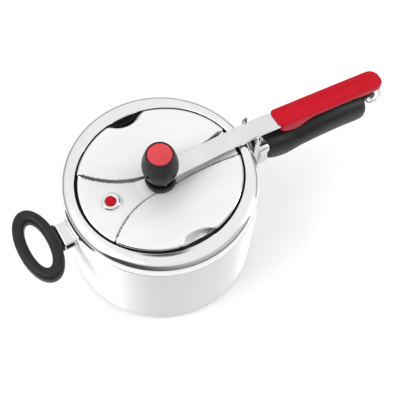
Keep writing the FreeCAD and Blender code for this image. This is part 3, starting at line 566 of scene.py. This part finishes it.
def make_lid():
    """Pressed lid as rings: over the top, down its side, round the flange and back underneath."""
    turns = full_turn(480)
    edge = oval_radius(turns, LID_LONG, LID_SHORT)
    rings = []

    def ring(radius, height):
        rings.append(polar_ring(radius, turns, height))

    def face(share, drop, inset):
        """One ring of the lid's face, at a share of the way out."""
        radius = (edge - inset) * share
        height = lid_height(radius * np.cos(turns), radius * np.sin(turns), edge - inset - radius)
        ring(radius, height - drop)

    shares = np.concatenate((np.linspace(0.0, 0.955, 110),
                             1 - 0.045 * np.cos(np.linspace(0.1, 0.5, 12) * math.pi)))
    for share in shares:
        face(share, 0.0, 0.0)
    side_top = rings[-1][:, 2]
    for share in (0.35, 0.7, 1.0):
        ring(edge, side_top * (1 - share) + (FLANGE_TOP + 0.3) * share)
    ring(edge + 0.4, FLANGE_TOP)
    ring(edge + FLANGE_REACH - 0.5, FLANGE_TOP)
    ring(edge + FLANGE_REACH, FLANGE_TOP - 0.5)
    ring(edge + FLANGE_REACH, FLANGE_LOW + 0.5)
    ring(edge + FLANGE_REACH - 0.5, FLANGE_LOW)
    ring(edge - 1.4, FLANGE_LOW)
    ring(edge - 2.0, FLANGE_LOW + 0.6)
    for share in shares[::-1][::2]:
        face(share, SHEET, 2.0)
    face(0.0, SHEET, 2.0)
    verts, faces = loft(rings, closed=True)
    lid = piece("lid_shell", verts, faces, "lid", "polished_aluminium", ["lid_plate"], sharp=50)
    finish_lid_faces(lid)


def finish_lid_faces(lid):
    """Satin on the broad faces and round the valve, darker metal as painted shade in the creases, polish
    elsewhere.
    """
    lid.data.materials.append(LID_FACE)
    lid.data.materials.append(CREASE_PAINTED_SHADE)
    for polygon in lid.data.polygons:
        x, y, z = (value / MM for value in polygon.center)
        in_scoop = math.hypot(x, abs(y) - SCOOP_Y, z - SCOOP_Z) < SCOOP_RADIUS + 0.6
        if z < FLANGE_TOP or in_scoop:
            continue
        to_side = oval_radius(math.atan2(y, x), LID_LONG, LID_SHORT) - math.hypot(x, y)
        if polygon.normal.z > 0.97 or math.hypot(x - VALVE_X, y) < VALVE_CLEAR:
            polygon.material_index = 1
        elif to_side > EDGE_ROUND + 2.0 and polygon.normal.z > 0:
            # crease faces get the darker metal: painted shade
            polygon.material_index = 2


def make_gasket():
    """Rubber ring on the flange; its black lip up the lid's side is partly real gasket, partly painted shade
    for the dark gap and dark reflections there; a black crescent of painted shadow lies on each scoop's
    floor.
    """
    turns = full_turn(320)
    edge = oval_radius(turns, LID_LONG, LID_SHORT)
    side_x, side_y = edge * np.cos(turns), edge * np.sin(turns)
    # the lip rises up the lid's side as painted shade: a black sheet where the gap is dark
    lip = np.minimum(FLANGE_TOP + 8.8, np.maximum(ball_height(side_x, side_y) + 0.9, FLANGE_TOP + 1.5))
    shelf = np.minimum(FLANGE_TOP + 4.2, lip)
    outline = [(0.05, FLANGE_TOP + 0.05), (5.6, FLANGE_TOP + 0.05), (5.6, FLANGE_TOP + 3.9),
               (5.2, FLANGE_TOP + 4.3), (0.9, shelf), (0.5, shelf + 0.1), (0.5, lip - 0.2), (0.4, lip),
               (0.2, lip), (0.05, lip - 0.2)]
    rings = [polar_ring(edge + offset, turns, height) for offset, height in outline]
    # the crescents on the scoop floors are painted shadow
    verts, faces = merged([loft(rings, closed=True), painted_shadow_crescent(1), painted_shadow_crescent(-1)])
    piece("gasket_with_painted_shade", verts, faces, "lid", "gasket_rubber", ["gasket"])


def painted_shadow_crescent(sign):
    """Black crescent on a scoop's floor next to the rim, in the rubber material: painted shadow for the gap's
    dark depth.
    """
    half, start = 18.0, 74.5
    tip = LID_SHORT * math.sqrt(1 - (half / LID_LONG) ** 2)
    rings = []
    for x in np.linspace(-half, half, 41):
        outer = LID_SHORT * math.sqrt(1 - (x / LID_LONG) ** 2) + 0.5
        inner = start + (tip - start) * (x / half) ** 2
        across = np.linspace(inner, outer, 9)
        top = ball_height(np.full(9, x), across) + 0.55
        top[0] -= 0.4
        upper = [(x, sign * y, z) for y, z in zip(across, top)]
        lower = [(x, sign * y, z - 0.8) for y, z in zip(across[::-1], top[::-1])]
        rings.append(upper + lower)
    return loft(rings)


def make_hub():
    """Black cup under the arm's end, with a soft rim, standing on the lid."""
    low, high = span("lid_hub")
    foot, rim, bore_radius = low.z, 139.4, 4.05
    cup = rounded_path([(bore_radius, foot, 0.2), (14.4, foot, 0.8), (15.7, foot + 5.0, 4.0),
                        (15.7, rim, 1.0), (13.5, rim, 0.6), (13.5, foot + 3.0, 0.5),
                        (bore_radius, foot + 3.0, 0.2)])
    verts, faces = lathe(cup, 120)
    block = rounded_path([(-6, -7.9, 0.8), (6, -7.9, 0.8), (6, 7.9, 0.8), (-6, 7.9, 0.8)])
    post = loft([[(x, y, z) for x, y in block] for z in (foot + 2.5, high.z)])
    verts, faces = merged([(verts, faces), post])
    hub = piece("hub_cup", verts, faces, "lid", "black_phenolic", ["lid_hub"])
    bore_low, bore_high = foot + 3.2, high.z + 1
    bore = lathe([(0.0, bore_low), (bore_radius, bore_low), (bore_radius, bore_high), (0.0, bore_high)], 48)
    cut_out(hub, *bore)
    finish_piece(hub, "lid", "black_phenolic", ["lid_hub"], 35)


# ---------------------------------------------------------------- valve and weight

def make_valve():
    """Metal ring of the safety valve, and its red plug with a raised rim and a middle boss."""
    low, high = span("safety_seat")
    top = high.z
    seat = rounded_path([
        (5.6, top - 2.2, 0.2), (5.6, top, 0.5), (8.3, top, 0.6), (9.4, top - 1.2, 0.5), (9.4, top - 2.6, 0.2),
        (7.0, top - 2.6, 0.1), (7.0, low.z, 0.4), (3.6, low.z, 0.3), (3.6, top - 2.2, 0.2)])
    verts, faces = lathe(seat, 96, (VALVE_X, 0.0))
    piece("valve_ring", verts, faces, "lid", "bright_steel", ["safety_seat"])
    low, high = span("safety_plug")
    crown = high.z
    plug = rounded_path([
        (0.0, low.z, 0), (4.4, low.z, 0.4), (4.4, low.z + 1.5, 0.3), (3.2, low.z + 1.6, 0.2),
        (3.2, top - 2.0, 0.2), (5.25, top - 2.0, 0.3), (5.25, crown - 0.6, 0.6), (4.3, crown - 0.25, 0.4),
        (3.9, crown - 0.7, 0.3), (2.6, crown - 0.75, 0.3), (2.2, crown - 0.1, 0.5), (0.0, crown, 0)],
        closed=False)
    verts, faces = lathe(plug, 72, (VALVE_X, 0.0))
    piece("valve_button", verts, faces, "safety_plug", "red_plastic", ["safety_plug"])


SLOT_COUNT = 4
SLOT_TURN = 20.0
SLOT_HEIGHT = 14.6


def make_weight():
    """Barrel with a swollen waist, a groove over its foot and four leaning steam slots; red disc on top."""
    low, high = span("weight_shell")
    foot, top, core = low.z, high.z, 8.1
    outer = spline([(15.1, foot + 0.6), (15.9, foot + 2.6), (16.5, foot + 4.4)], 5)
    outer += [(16.55, foot + 4.7), (16.0, foot + 5.0), (16.0, foot + 5.5), (16.8, foot + 5.8)]
    outer += spline([(16.95, foot + 6.3), (17.8, foot + 10.0), (18.1, foot + 14.0), (17.7, foot + 20.0),
                     (16.2, foot + 27.5), (14.6, foot + 33.0), (13.9, top - 0.8)], 7)
    rim = rounded_path([(13.9, top - 0.8, 0), (13.6, top, 0.5), (12.5, top, 0.4), (12.35, top - 3.4, 0),
                        (12.35, top - 7.0, 0), (core, top - 7.0, 0), (core, top - 10.0, 0),
                        (13.0, top - 10.0, 0), (13.3, foot + 12.0, 0), (12.5, foot + 3.0, 0),
                        (core, foot + 3.0, 0), (core, foot, 0), (14.6, foot, 0)], closed=False)
    verts, faces = lathe(outer + rim[1:], 144)
    barrel = piece("weight_barrel", verts, faces, "weight_shell", "black_phenolic", ["weight_shell"],
                   sharp=28)
    for k in range(SLOT_COUNT):
        cut_slot(barrel, math.radians(SLOT_TURN + 360 / SLOT_COUNT * k), foot + SLOT_HEIGHT)
    finish_piece(barrel, "weight_shell", "black_phenolic", ["weight_shell"], 28)
    cap_low, cap_high = span("weight_cap")
    disc = rounded_path([(0.0, cap_low.z, 0), (12.2, cap_low.z, 0.3), (12.2, cap_high.z - 0.9, 0.9),
                         (10.8, cap_high.z - 0.25, 1.5), (0.0, cap_high.z, 0)], closed=False)
    verts, faces = lathe(disc, 120)
    cap = piece("weight_disc", verts, faces, "weight_shell", "red_plastic", ["weight_cap"])
    # the cap's paler red is painted light, not a different plastic
    cap.data.materials[0] = CAP_RED_PAINTED_LIGHT


def cut_slot(barrel, turn, height):
    """Cuts one leaning oval steam slot through the barrel's wall."""
    along, across = superellipse(3.0, 1.8, 2.0, 40)
    lean = math.radians(28)
    y = along * math.sin(lean) + across * math.cos(lean)
    z = height + along * math.cos(lean) - across * math.sin(lean)
    verts, faces = loft([np.column_stack((np.full(40, reach), y, z)) for reach in (11.0, 20.0)])
    cut_out(barrel, [Matrix.Rotation(turn, 4, "Z") @ Vector(v) for v in verts], faces)


def cut_out(item, verts, faces):
    """Subtracts a mesh given in millimetres from a piece for good, and removes the tool."""
    tool = new_object("cutter", verts, faces, weld=False)
    modifier = item.modifiers.new("cut", "BOOLEAN")
    modifier.operation = "DIFFERENCE"
    modifier.solver = "EXACT"
    modifier.object = tool
    bpy.context.view_layer.update()
    graph = bpy.context.evaluated_depsgraph_get()
    result = bpy.data.meshes.new_from_object(item.evaluated_get(graph))
    item.modifiers.clear()
    item.data = result
    bpy.data.objects.remove(tool)


def add_part(item, verts, faces):
    """Adds one more closed mesh, in millimetres, to a piece."""
    work = bmesh.new()
    work.from_mesh(item.data)
    corners = [work.verts.new(tuple(v)) for v in np.asarray(verts, float) * MM]
    added = [work.faces.new([corners[index] for index in face]) for face in faces]
    bmesh.ops.recalc_face_normals(work, faces=added)
    work.to_mesh(item.data)
    work.free()


# ---------------------------------------------------------------- lever arm and red handle

def make_arm():
    """Steel strip with a rounded end and eased edges, level over the lid and bent behind the fork."""
    stations = list(10.0 * -np.cos(np.linspace(0.0, 0.5, 14) * math.pi))
    stations += [20, 40, 60, 80, 100, 104, 106, 108, 110, 112, 120, 140, 170, 200, 230, ARM_END - 0.5]
    rings = []
    for x in stations:
        half = math.sqrt(max(ARM_HALF ** 2 - x * x, 0.4)) if x < 0 else ARM_HALF
        bend = 0.5 * (x - ARM_BEND + math.hypot(x - ARM_BEND, 2.0))
        top = ARM_TOP - bend * TAIL_FALL
        inset, low_round, high_round = (0.0, 0.5, 0.6) if half > 2 else (0.3, 0.2, 0.2)
        bottom = top - ARM_THICK + inset
        section = rounded_path([(-half, bottom, low_round), (half, bottom, low_round),
                                (half, top - inset, high_round), (-half, top - inset, high_round)], steps=3)
        rings.append([(x, y, z) for y, z in section])
    verts, faces = loft(rings)
    piece("arm_strip", verts, faces, "lever_arm", "bright_steel", ["lever_arm"], sharp=30)


INNER_END = 4.0
OUTER_END = 12.5


def make_red_handle():
    """Red moulding: sunk top panel, rounded ends, a skirt that is deep behind the inner end."""
    low, high = span("lid_handle")
    start, end = low.x, high.x
    # (distance from the inner end, depth below the arm's upper face)
    skirt = [(0.0, 4.0), (4.0, 8.0), (11.0, 11.2), (19.0, 12.8), (26.0, 12.0), (33.0, 7.2), (42.0, 3.9),
             (56.0, 3.3), (80.0, 3.2), (95.0, 3.4), (104.0, 4.6), (112.0, 5.6), (126.0, 5.4),
             (end - start, 4.4)]
    curve = np.array(spline(skirt, 8))
    stations = np.concatenate((start + INNER_END * (1 - np.cos(np.linspace(0, 0.5, 8) * math.pi)),
                               np.arange(start + 6, end - 13, 2.0),
                               end - OUTER_END * (1 - np.sin(np.linspace(0, 0.5, 14) * math.pi))))
    rings = []
    for x in stations:
        inner = min(1.0, (x - start) / INNER_END)
        outer = min(1.0, (end - x) / OUTER_END)
        plan = 0.62 + 0.38 * math.sqrt(max(0.0, 1 - (1 - inner) ** 2))
        plan *= 0.30 + 0.70 * math.sqrt(max(0.0, 1 - (1 - outer) ** 2.4))
        drop = np.interp(x - start, curve[:, 0], curve[:, 1])
        base = arm_top(x)
        rise = 2.3 - 1.1 * (1 - outer) ** 2 - 0.8 * (1 - inner) ** 2
        upper = 11.0 * plan
        lower = 12.2 * plan
        wall = min(1.7, lower * 0.45)
        bottom = base - max(drop, 3.3)
        sunk = 0.45 * float(smoothstep(start + 14, start + 15, x) * smoothstep(end - 16, end - 17, x))
        panel_half, frame_half = min(7.5, upper * 0.66), min(8.0, upper * 0.72)
        outline = [(-lower, bottom, 0.5), (-upper - 0.25, base + rise - 0.5, 1.3),
                   (-frame_half, base + rise, 0), (-panel_half, base + rise - sunk, 0),
                   (panel_half, base + rise - sunk, 0), (frame_half, base + rise, 0),
                   (upper + 0.25, base + rise - 0.5, 1.3), (lower, bottom, 0.5),
                   (lower - wall, bottom, 0.5), (upper - wall, base - 0.9, 0.4),
                   (-upper + wall, base - 0.9, 0.4), (-lower + wall, bottom, 0.5)]
        rings.append([(x, y, z) for y, z in rounded_path(outline, steps=4)])
    verts, faces = loft(rings)
    piece("red_handle", verts, faces, "lever_arm", "red_plastic", ["lid_handle"], sharp=38)


# ---------------------------------------------------------------- long handle of the pot

NOSE_START = 248.0
NOSE_HALF = 6.4
FINGER_X = 232.0
RECESS_X = 229.0
RECESS_Y = 15.6
RECESS_Z = 84.0


def make_grip():
    """Black grip: a belly behind its front end, a squared outer end and a flat nose."""
    nose_end = span("pot_handle")[1].x
    # (x, half width, bottom, top) of the cross-sections along the grip
    stations = np.array(spline([
        (120.6, 17.6, 91.5, 123.2), (126.0, 18.6, 88.0, 122.9), (134.0, 19.1, 84.0, 121.6),
        (144.0, 19.3, 81.8, 119.8), (154.0, 19.2, 83.0, 119.0), (166.0, 19.0, 84.4, 118.8),
        (190.0, 18.8, 83.0, 118.3), (215.0, 18.5, 79.5, 117.0), (236.0, 18.3, 75.0, 113.6),
        (244.0, 18.0, 73.8, 112.0), (248.6, 17.0, 74.2, 110.4), (250.0, 15.4, 76.0, 108.6),
    ], 5))
    rings = []
    for x, half, bottom, top in stations:
        y, z = superellipse(half, (top - bottom) / 2, 2.35, 72)
        middle = (top + bottom) / 2
        finger = math.exp(-((x - FINGER_X) / 11.0) ** 2) * 1.5
        angle = np.arctan2(z, y)
        dent = finger * np.exp(-((np.abs(np.abs(angle) - math.pi / 2) - 0.75) / 0.22) ** 2) * (z < 0)
        shrinkage = 1 - dent / np.hypot(y, z)
        rings.append(np.column_stack((np.full(72, x), y * shrinkage, middle + z * shrinkage)))
    grip = piece("long_grip", *loft(rings), "pot", "black_phenolic", ["pot_handle"])
    for sign in (1, -1):
        cut_out(grip, *grip_recess(sign))
    bush_z = middle_z("ring_bush")
    low, high = bush_z - NOSE_HALF, bush_z + NOSE_HALF
    nose = rounded_path([(NOSE_START, low, 0), (nose_end, low, 6.0), (nose_end, high, 6.0),
                         (NOSE_START, high, 0)])
    inner = shrink(nose, 0.8)
    plate = [[(x, y, z) for x, z in loop]
             for y, loop in ((-8.0, inner), (-7.2, nose), (7.2, nose), (8.0, inner))]
    add_part(grip, *loft(plate))
    finish_piece(grip, "pot", "black_phenolic", ["pot_handle"], 35)


def grip_recess(sign):
    """Capsule-shaped tool for the shallow finger recess low on each side of the grip."""
    lean = math.radians(38)
    along, up = superellipse(18.0, 2.6, 4.0, 48)
    rings = []
    for depth in (0.0, 8.0):
        y = sign * (RECESS_Y + depth * math.cos(lean) + up * math.sin(lean))
        z = RECESS_Z - depth * math.sin(lean) + up * math.cos(lean) - along * 0.06
        rings.append(np.column_stack((RECESS_X + along, y, z)))
    return loft(rings)


def make_ferrule():
    """Bright sleeve between the wall and the grip, with eased ends."""
    low, high = span("handle_ferrule")
    rings = []
    ends = ((low.x, -0.9), (low.x + 0.5, -0.1), (low.x + 1.2, 0.0), (high.x - 0.8, 0.0), (high.x, -0.3))
    for x, grow in ends:
        half = high.y + grow
        section = rounded_path([(-half, low.z - grow, 6.0), (half, low.z - grow, 6.0),
                                (half, high.z + grow, 6.0), (-half, high.z + grow, 6.0)], steps=10)
        rings.append([(x, y, z) for y, z in section])
    verts, faces = loft(rings)
    piece("grip_sleeve", verts, faces, "pot", "bright_steel", ["handle_ferrule"], sharp=35)


def make_fork():
    """Two cheeks beside the lever arm with rounded heads, joined by a web behind."""
    low, high = span("handle_bracket")
    front, head_end, foot_end = low.x + 0.4, 109.0, 119.0
    outline = [(front, low.z, 1.0), (foot_end, low.z, 1.0), (foot_end, 120.0, 3.0),
               (head_end + 1.5, 120.0, 6.0), (head_end, 128.0, 4.0), (head_end - 1.0, high.z, 3.2),
               (front + 0.3, high.z, 3.2), (front, 130.0, 4.0)]
    parts = [plate_x(outline, near, far, 0.45) for near, far in ((12.2, 14.2), (-14.2, -12.2))]
    bar = rounded_path([(front, low.z, 0.8), (foot_end, low.z, 0.8), (foot_end, low.z + 2, 0.8),
                        (front, low.z + 2, 0.8)])
    parts.append(loft([[(x, y, z) for x, z in bar] for y in (-12.4, 12.4)]))
    verts, faces = merged(parts)
    piece("handle_fork", verts, faces, "pot", "bright_steel", ["handle_bracket"], sharp=35)


# ---------------------------------------------------------------- helper handle

HELPER_SHORT = 20.4
SCREW_RECESS = 3.2
BOSS_HALF = 14.4


def make_helper_ring():
    """Oval ring with a soft, nearly flat top, a boss towards the pot and a hole for the screw's head."""
    low, high = span("helper_handle")
    centre_x = low.x + HELPER_SHORT
    middle, half_height = (low.z + high.z) / 2, (high.z - low.z) / 2
    steps = 120
    outer_y, outer_x = superellipse(40.4, HELPER_SHORT, 2.08, steps)
    inner_y, inner_x = superellipse(26.4, 8.9, 2.05, steps)
    across, up = superellipse(1.0, half_height, 2.9, 32)
    rings = []
    for a, z in zip(across, up):
        share = (a + 1) / 2
        rings.append(np.column_stack((centre_x + inner_x * (1 - share) + outer_x * share,
                                      inner_y * (1 - share) + outer_y * share, np.full(steps, middle + z))))
    ring = piece("helper_ring", *loft(rings, closed=True), "pot", "black_phenolic", ["helper_handle"])
    recess_y, recess_z = superellipse(SCREW_RECESS, SCREW_RECESS, 2.0, 40)
    recess_z += middle_z("helper_screw")
    recess = [np.column_stack((np.full(40, x), recess_y, recess_z)) for x in (centre_x, -121.0)]
    cut_out(ring, *loft(recess))
    boss_top = span("helper_bracket")[1].z - 3.0
    section = rounded_path([(-BOSS_HALF, low.z + 0.6, 2.0), (BOSS_HALF, low.z + 0.6, 2.0),
                            (BOSS_HALF, boss_top, 2.0), (-BOSS_HALF, boss_top, 2.0)], steps=5)
    add_part(ring, *loft([[(x, y, z) for y, z in section] for x in (centre_x + 15.0, high.x)]))
    finish_piece(ring, "pot", "black_phenolic", ["helper_handle"], 40)


def make_helper_strap():
    """Folded strip between the ring and the wall, with flanges that lie on the wall."""
    low, high = span("helper_bracket")
    outer_x, bottom, top = low.x, low.z + 3.5, high.z - 3.0
    wall_x = -POT_RADIUS - 0.2
    out = rounded_path([(wall_x, top, 0), (outer_x, top, 2.6), (outer_x, bottom, 2.6), (wall_x, bottom, 0)],
                       closed=False)
    back = rounded_path([(wall_x, bottom + 2, 0), (outer_x + 2, bottom + 2, 0.8), (outer_x + 2, top - 2, 0.8),
                         (wall_x, top - 2, 0)], closed=False)
    path = out + back
    inner = shrink(path, 0.5)
    rings = [[(x, y, z) for x, z in loop]
             for y, loop in ((-12.7, inner), (-12.1, path), (12.1, path), (12.7, inner))]
    verts, faces = merged([loft(rings), wall_patch(math.pi, 12.7, low.z, high.z)])
    piece("helper_strap", verts, faces, "pot", "bright_steel", ["helper_bracket"], sharp=35)


# ---------------------------------------------------------------- wall plates and rivets

PLATE = 2.0
RIVET_DOME = ((-1.0, 3.2), (0.0, 3.9), (0.45, 3.75), (0.9, 2.9), (1.15, 1.5), (1.2, 0.3))


def wall_patch(bearing, half_width, low, high):
    """Curved plate with eased edges that lies against the pot's wall."""
    reach = math.asin(half_width / POT_RADIUS)
    back, front = POT_RADIUS + 0.02, POT_RADIUS + PLATE
    rings = []
    for turn in np.linspace(-reach, reach, 25):
        edge = 0.4 if abs(turn) > reach - 1e-6 else 0.0
        section = rounded_path([(back, low + edge, 0.1), (front - edge, low + edge, 0.5),
                                (front - edge, high - edge, 0.5), (back, high - edge, 0.1)], steps=3)
        angle = bearing + turn
        rings.append([(r * math.cos(angle), r * math.sin(angle), z) for r, z in section])
    return loft(rings)


def make_saddle():
    """Plate on the wall behind the grip's bracket."""
    low, high = span("handle_saddle")
    verts, faces = wall_patch(0.0, high.y, low.z, high.z)
    piece("grip_saddle", verts, faces, "pot", "bright_steel", ["handle_saddle"], sharp=35)


def make_rivets(name, node, bearings, heights):
    """Domed heads inside and outside the wall, with short shanks."""
    parts = []
    for bearing in bearings:
        for height in heights:
            parts.append(rivet_head(bearing, height, POT_RADIUS + PLATE, 1))
            parts.append(rivet_head(bearing, height, POT_RADIUS - WALL, -1))
    verts, faces = merged(parts)
    piece(name, verts, faces, "pot", "rivet_aluminium", [node])


def rivet_head(bearing, height, base, outwards):
    """One domed head on a radius of the pot, pointing outwards (1) or inwards (-1)."""
    angle = math.radians(bearing)
    turns = full_turn(28)
    rings = []
    for up, radius in RIVET_DOME:
        out = base + outwards * up
        across = radius * np.cos(turns)
        rings.append(np.column_stack((out * math.cos(angle) - across * math.sin(angle),
                                      out * math.sin(angle) + across * math.cos(angle),
                                      radius * np.sin(turns) + height)))
    return loft(rings)


# ---------------------------------------------------------------- carried-over CAD nodes

def dress_cad_nodes():
    """Gives every CAD node the procedural material of its record slot."""
    for entry in frame["record"]["subparts"]:
        node = NODES[entry["node"]]
        for index in range(len(node.material_slots)):
            node.material_slots[index].material = MATERIALS[entry["material_slot"]]


# ---------------------------------------------------------------- studio

VIEW_YAW = math.radians(33.87)
VIEW_DOWN = math.radians(63.4)
VIEW_ROLL = math.radians(4.37)
VIEW_DISTANCE = 820.79
VIEW_SHIFT = (41.77, 12.24)
VIEW_FOCUS = 760.11
IMAGE_WIDTH = 400.0
AIM = Vector((0.0, 0.0, 60.0))


def make_camera():
    """Camera that looks down on the cooker from the side of the helper handle."""
    level = Vector((math.sin(VIEW_YAW), math.cos(VIEW_YAW), 0))
    right = Vector((math.cos(VIEW_YAW), -math.sin(VIEW_YAW), 0))
    view = level * math.cos(VIEW_DOWN) - Vector((0, 0, math.sin(VIEW_DOWN)))
    up = level * math.sin(VIEW_DOWN) + Vector((0, 0, math.cos(VIEW_DOWN)))
    across = right * math.cos(VIEW_ROLL) + up * math.sin(VIEW_ROLL)
    upward = up * math.cos(VIEW_ROLL) - right * math.sin(VIEW_ROLL)
    place = AIM - view * VIEW_DISTANCE + across * VIEW_SHIFT[0] + upward * VIEW_SHIFT[1]
    data = bpy.data.cameras.new("camera")
    data.sensor_width = 36.0
    data.lens = VIEW_FOCUS * data.sensor_width / IMAGE_WIDTH
    data.clip_start = 0.01
    item = bpy.data.objects.new("camera", data)
    turn = Matrix((across, upward, -view)).transposed().to_4x4()
    item.matrix_world = Matrix.Translation(place * MM) @ turn
    bpy.context.scene.collection.objects.link(item)
    bpy.context.scene.camera = item


def make_floor():
    """Plain pale floor just below the pot's underside."""
    mesh = bpy.data.meshes.new("floor")
    half = 6.0
    corners = [(-half, -half, 0), (half, -half, 0), (half, half, 0), (-half, half, 0)]
    mesh.from_pydata(corners, [], [(0, 1, 2, 3)])
    floor = bpy.data.objects.new("floor", mesh)
    floor.location.z = -0.0002
    bpy.context.scene.collection.objects.link(floor)
    paint = bpy.data.materials.new("floor_white")
    paint.use_nodes = True
    shader = paint.node_tree.nodes["Principled BSDF"]
    shader.inputs["Base Color"].default_value = (0.97, 0.97, 0.97, 1)
    shader.inputs["Roughness"].default_value = 0.9
    shader.inputs["Specular IOR Level"].default_value = 0.1
    mesh.materials.append(paint)


def make_light(name, size, energy, place, target=(0, 0, 0.1)):
    """Rectangular soft light aimed at the cooker."""
    data = bpy.data.lights.new(name, "AREA")
    data.shape = "RECTANGLE"
    data.size, data.size_y = size
    data.energy = energy
    item = bpy.data.objects.new(name, data)
    item.location = place
    aim = Vector(target) - Vector(place)
    item.rotation_euler = aim.to_track_quat("-Z", "Y").to_euler()
    bpy.context.scene.collection.objects.link(item)


def make_world():
    """Soft white tent over a darker horizon, with a dark opening on the side where the camera stands."""
    world = bpy.data.worlds.new("tent")
    bpy.context.scene.world = world
    world.use_nodes = True
    tree = world.node_tree
    place = tree.nodes.new("ShaderNodeTexCoord")
    parts = tree.nodes.new("ShaderNodeSeparateXYZ")
    tree.links.new(place.outputs["Generated"], parts.inputs["Vector"])
    turn = tree.nodes.new("ShaderNodeMath")
    turn.operation = "ARCTAN2"
    tree.links.new(parts.outputs["Y"], turn.inputs[0])
    tree.links.new(parts.outputs["X"], turn.inputs[1])
    around = ranged(tree, turn.outputs[0], -math.pi, math.pi)
    opening = grey_ramp(tree, around, [(0.0, 0.0), (0.02, 0.0), (0.032, 1.0), (0.13, 0.95), (0.24, 0.55),
                                       (0.4, 0.3), (0.46, 0.0), (1.0, 0.0)])
    low_side = grey_ramp(tree, parts.outputs["Z"], [(0.0, 1.0), (0.62, 1.0), (0.78, 0.0), (1.0, 0.0)])
    horizon = grey_ramp(tree, parts.outputs["Z"], [(0.0, 0.15), (0.08, 0.2), (0.3, 0.95), (0.5, 1.0),
                                                   (1.0, 1.0)])
    both = tree.nodes.new("ShaderNodeMath")
    both.operation = "MULTIPLY"
    tree.links.new(opening, both.inputs[0])
    tree.links.new(low_side, both.inputs[1])
    mix = tree.nodes.new("ShaderNodeMix")
    mix.data_type = "RGBA"
    colours = [socket for socket in mix.inputs if socket.type == "RGBA"]
    tree.links.new(both.outputs[0], mix.inputs["Factor"])
    tree.links.new(horizon, colours[0])
    colours[1].default_value = (0.04, 0.04, 0.04, 1)
    back = tree.nodes["Background"]
    back.inputs["Strength"].default_value = 1.12
    tree.links.new([output for output in mix.outputs if output.type == "RGBA"][0], back.inputs["Color"])


def ranged(tree, value, low, high):
    """Maps a value from low..high to 0..1."""
    node = tree.nodes.new("ShaderNodeMapRange")
    node.inputs["From Min"].default_value = low
    node.inputs["From Max"].default_value = high
    tree.links.new(value, node.inputs["Value"])
    return node.outputs["Result"]


def grey_ramp(tree, value, stops):
    """A grey scale read from (position, brightness) stops."""
    ramp = tree.nodes.new("ShaderNodeValToRGB")
    tree.links.new(value, ramp.inputs["Fac"])
    elements = ramp.color_ramp.elements
    for position, grey in stops[1:-1]:
        elements.new(position)
    for element, (position, grey) in zip(elements, stops):
        element.position = position
        element.color = (grey, grey, grey, 1)
    return ramp.outputs["Color"]


def make_studio():
    """Camera, floor, white tent and two soft lights."""
    make_camera()
    make_floor()
    make_world()
    make_light("key", (1.0, 1.0), 9.0, (-0.9, 0.1, 1.2))
    make_light("side", (0.25, 0.9), 4.0, (1.1, -0.5, 0.6))
    bpy.context.scene.view_settings.view_transform = "Standard"


make_studio()
dress_cad_nodes()
make_pot()
make_lid()
make_hub()
make_gasket()
make_valve()
make_weight()
make_arm()
make_red_handle()
make_grip()
make_ferrule()
make_fork()
make_saddle()
make_rivets("grip_rivets", "handle_rivets", (12.5, -12.5), (97.5, 114.0))
make_rivets("strap_rivets", "helper_rivets", (175.0, 185.0), (113.2,))
make_helper_ring()
make_helper_strap()
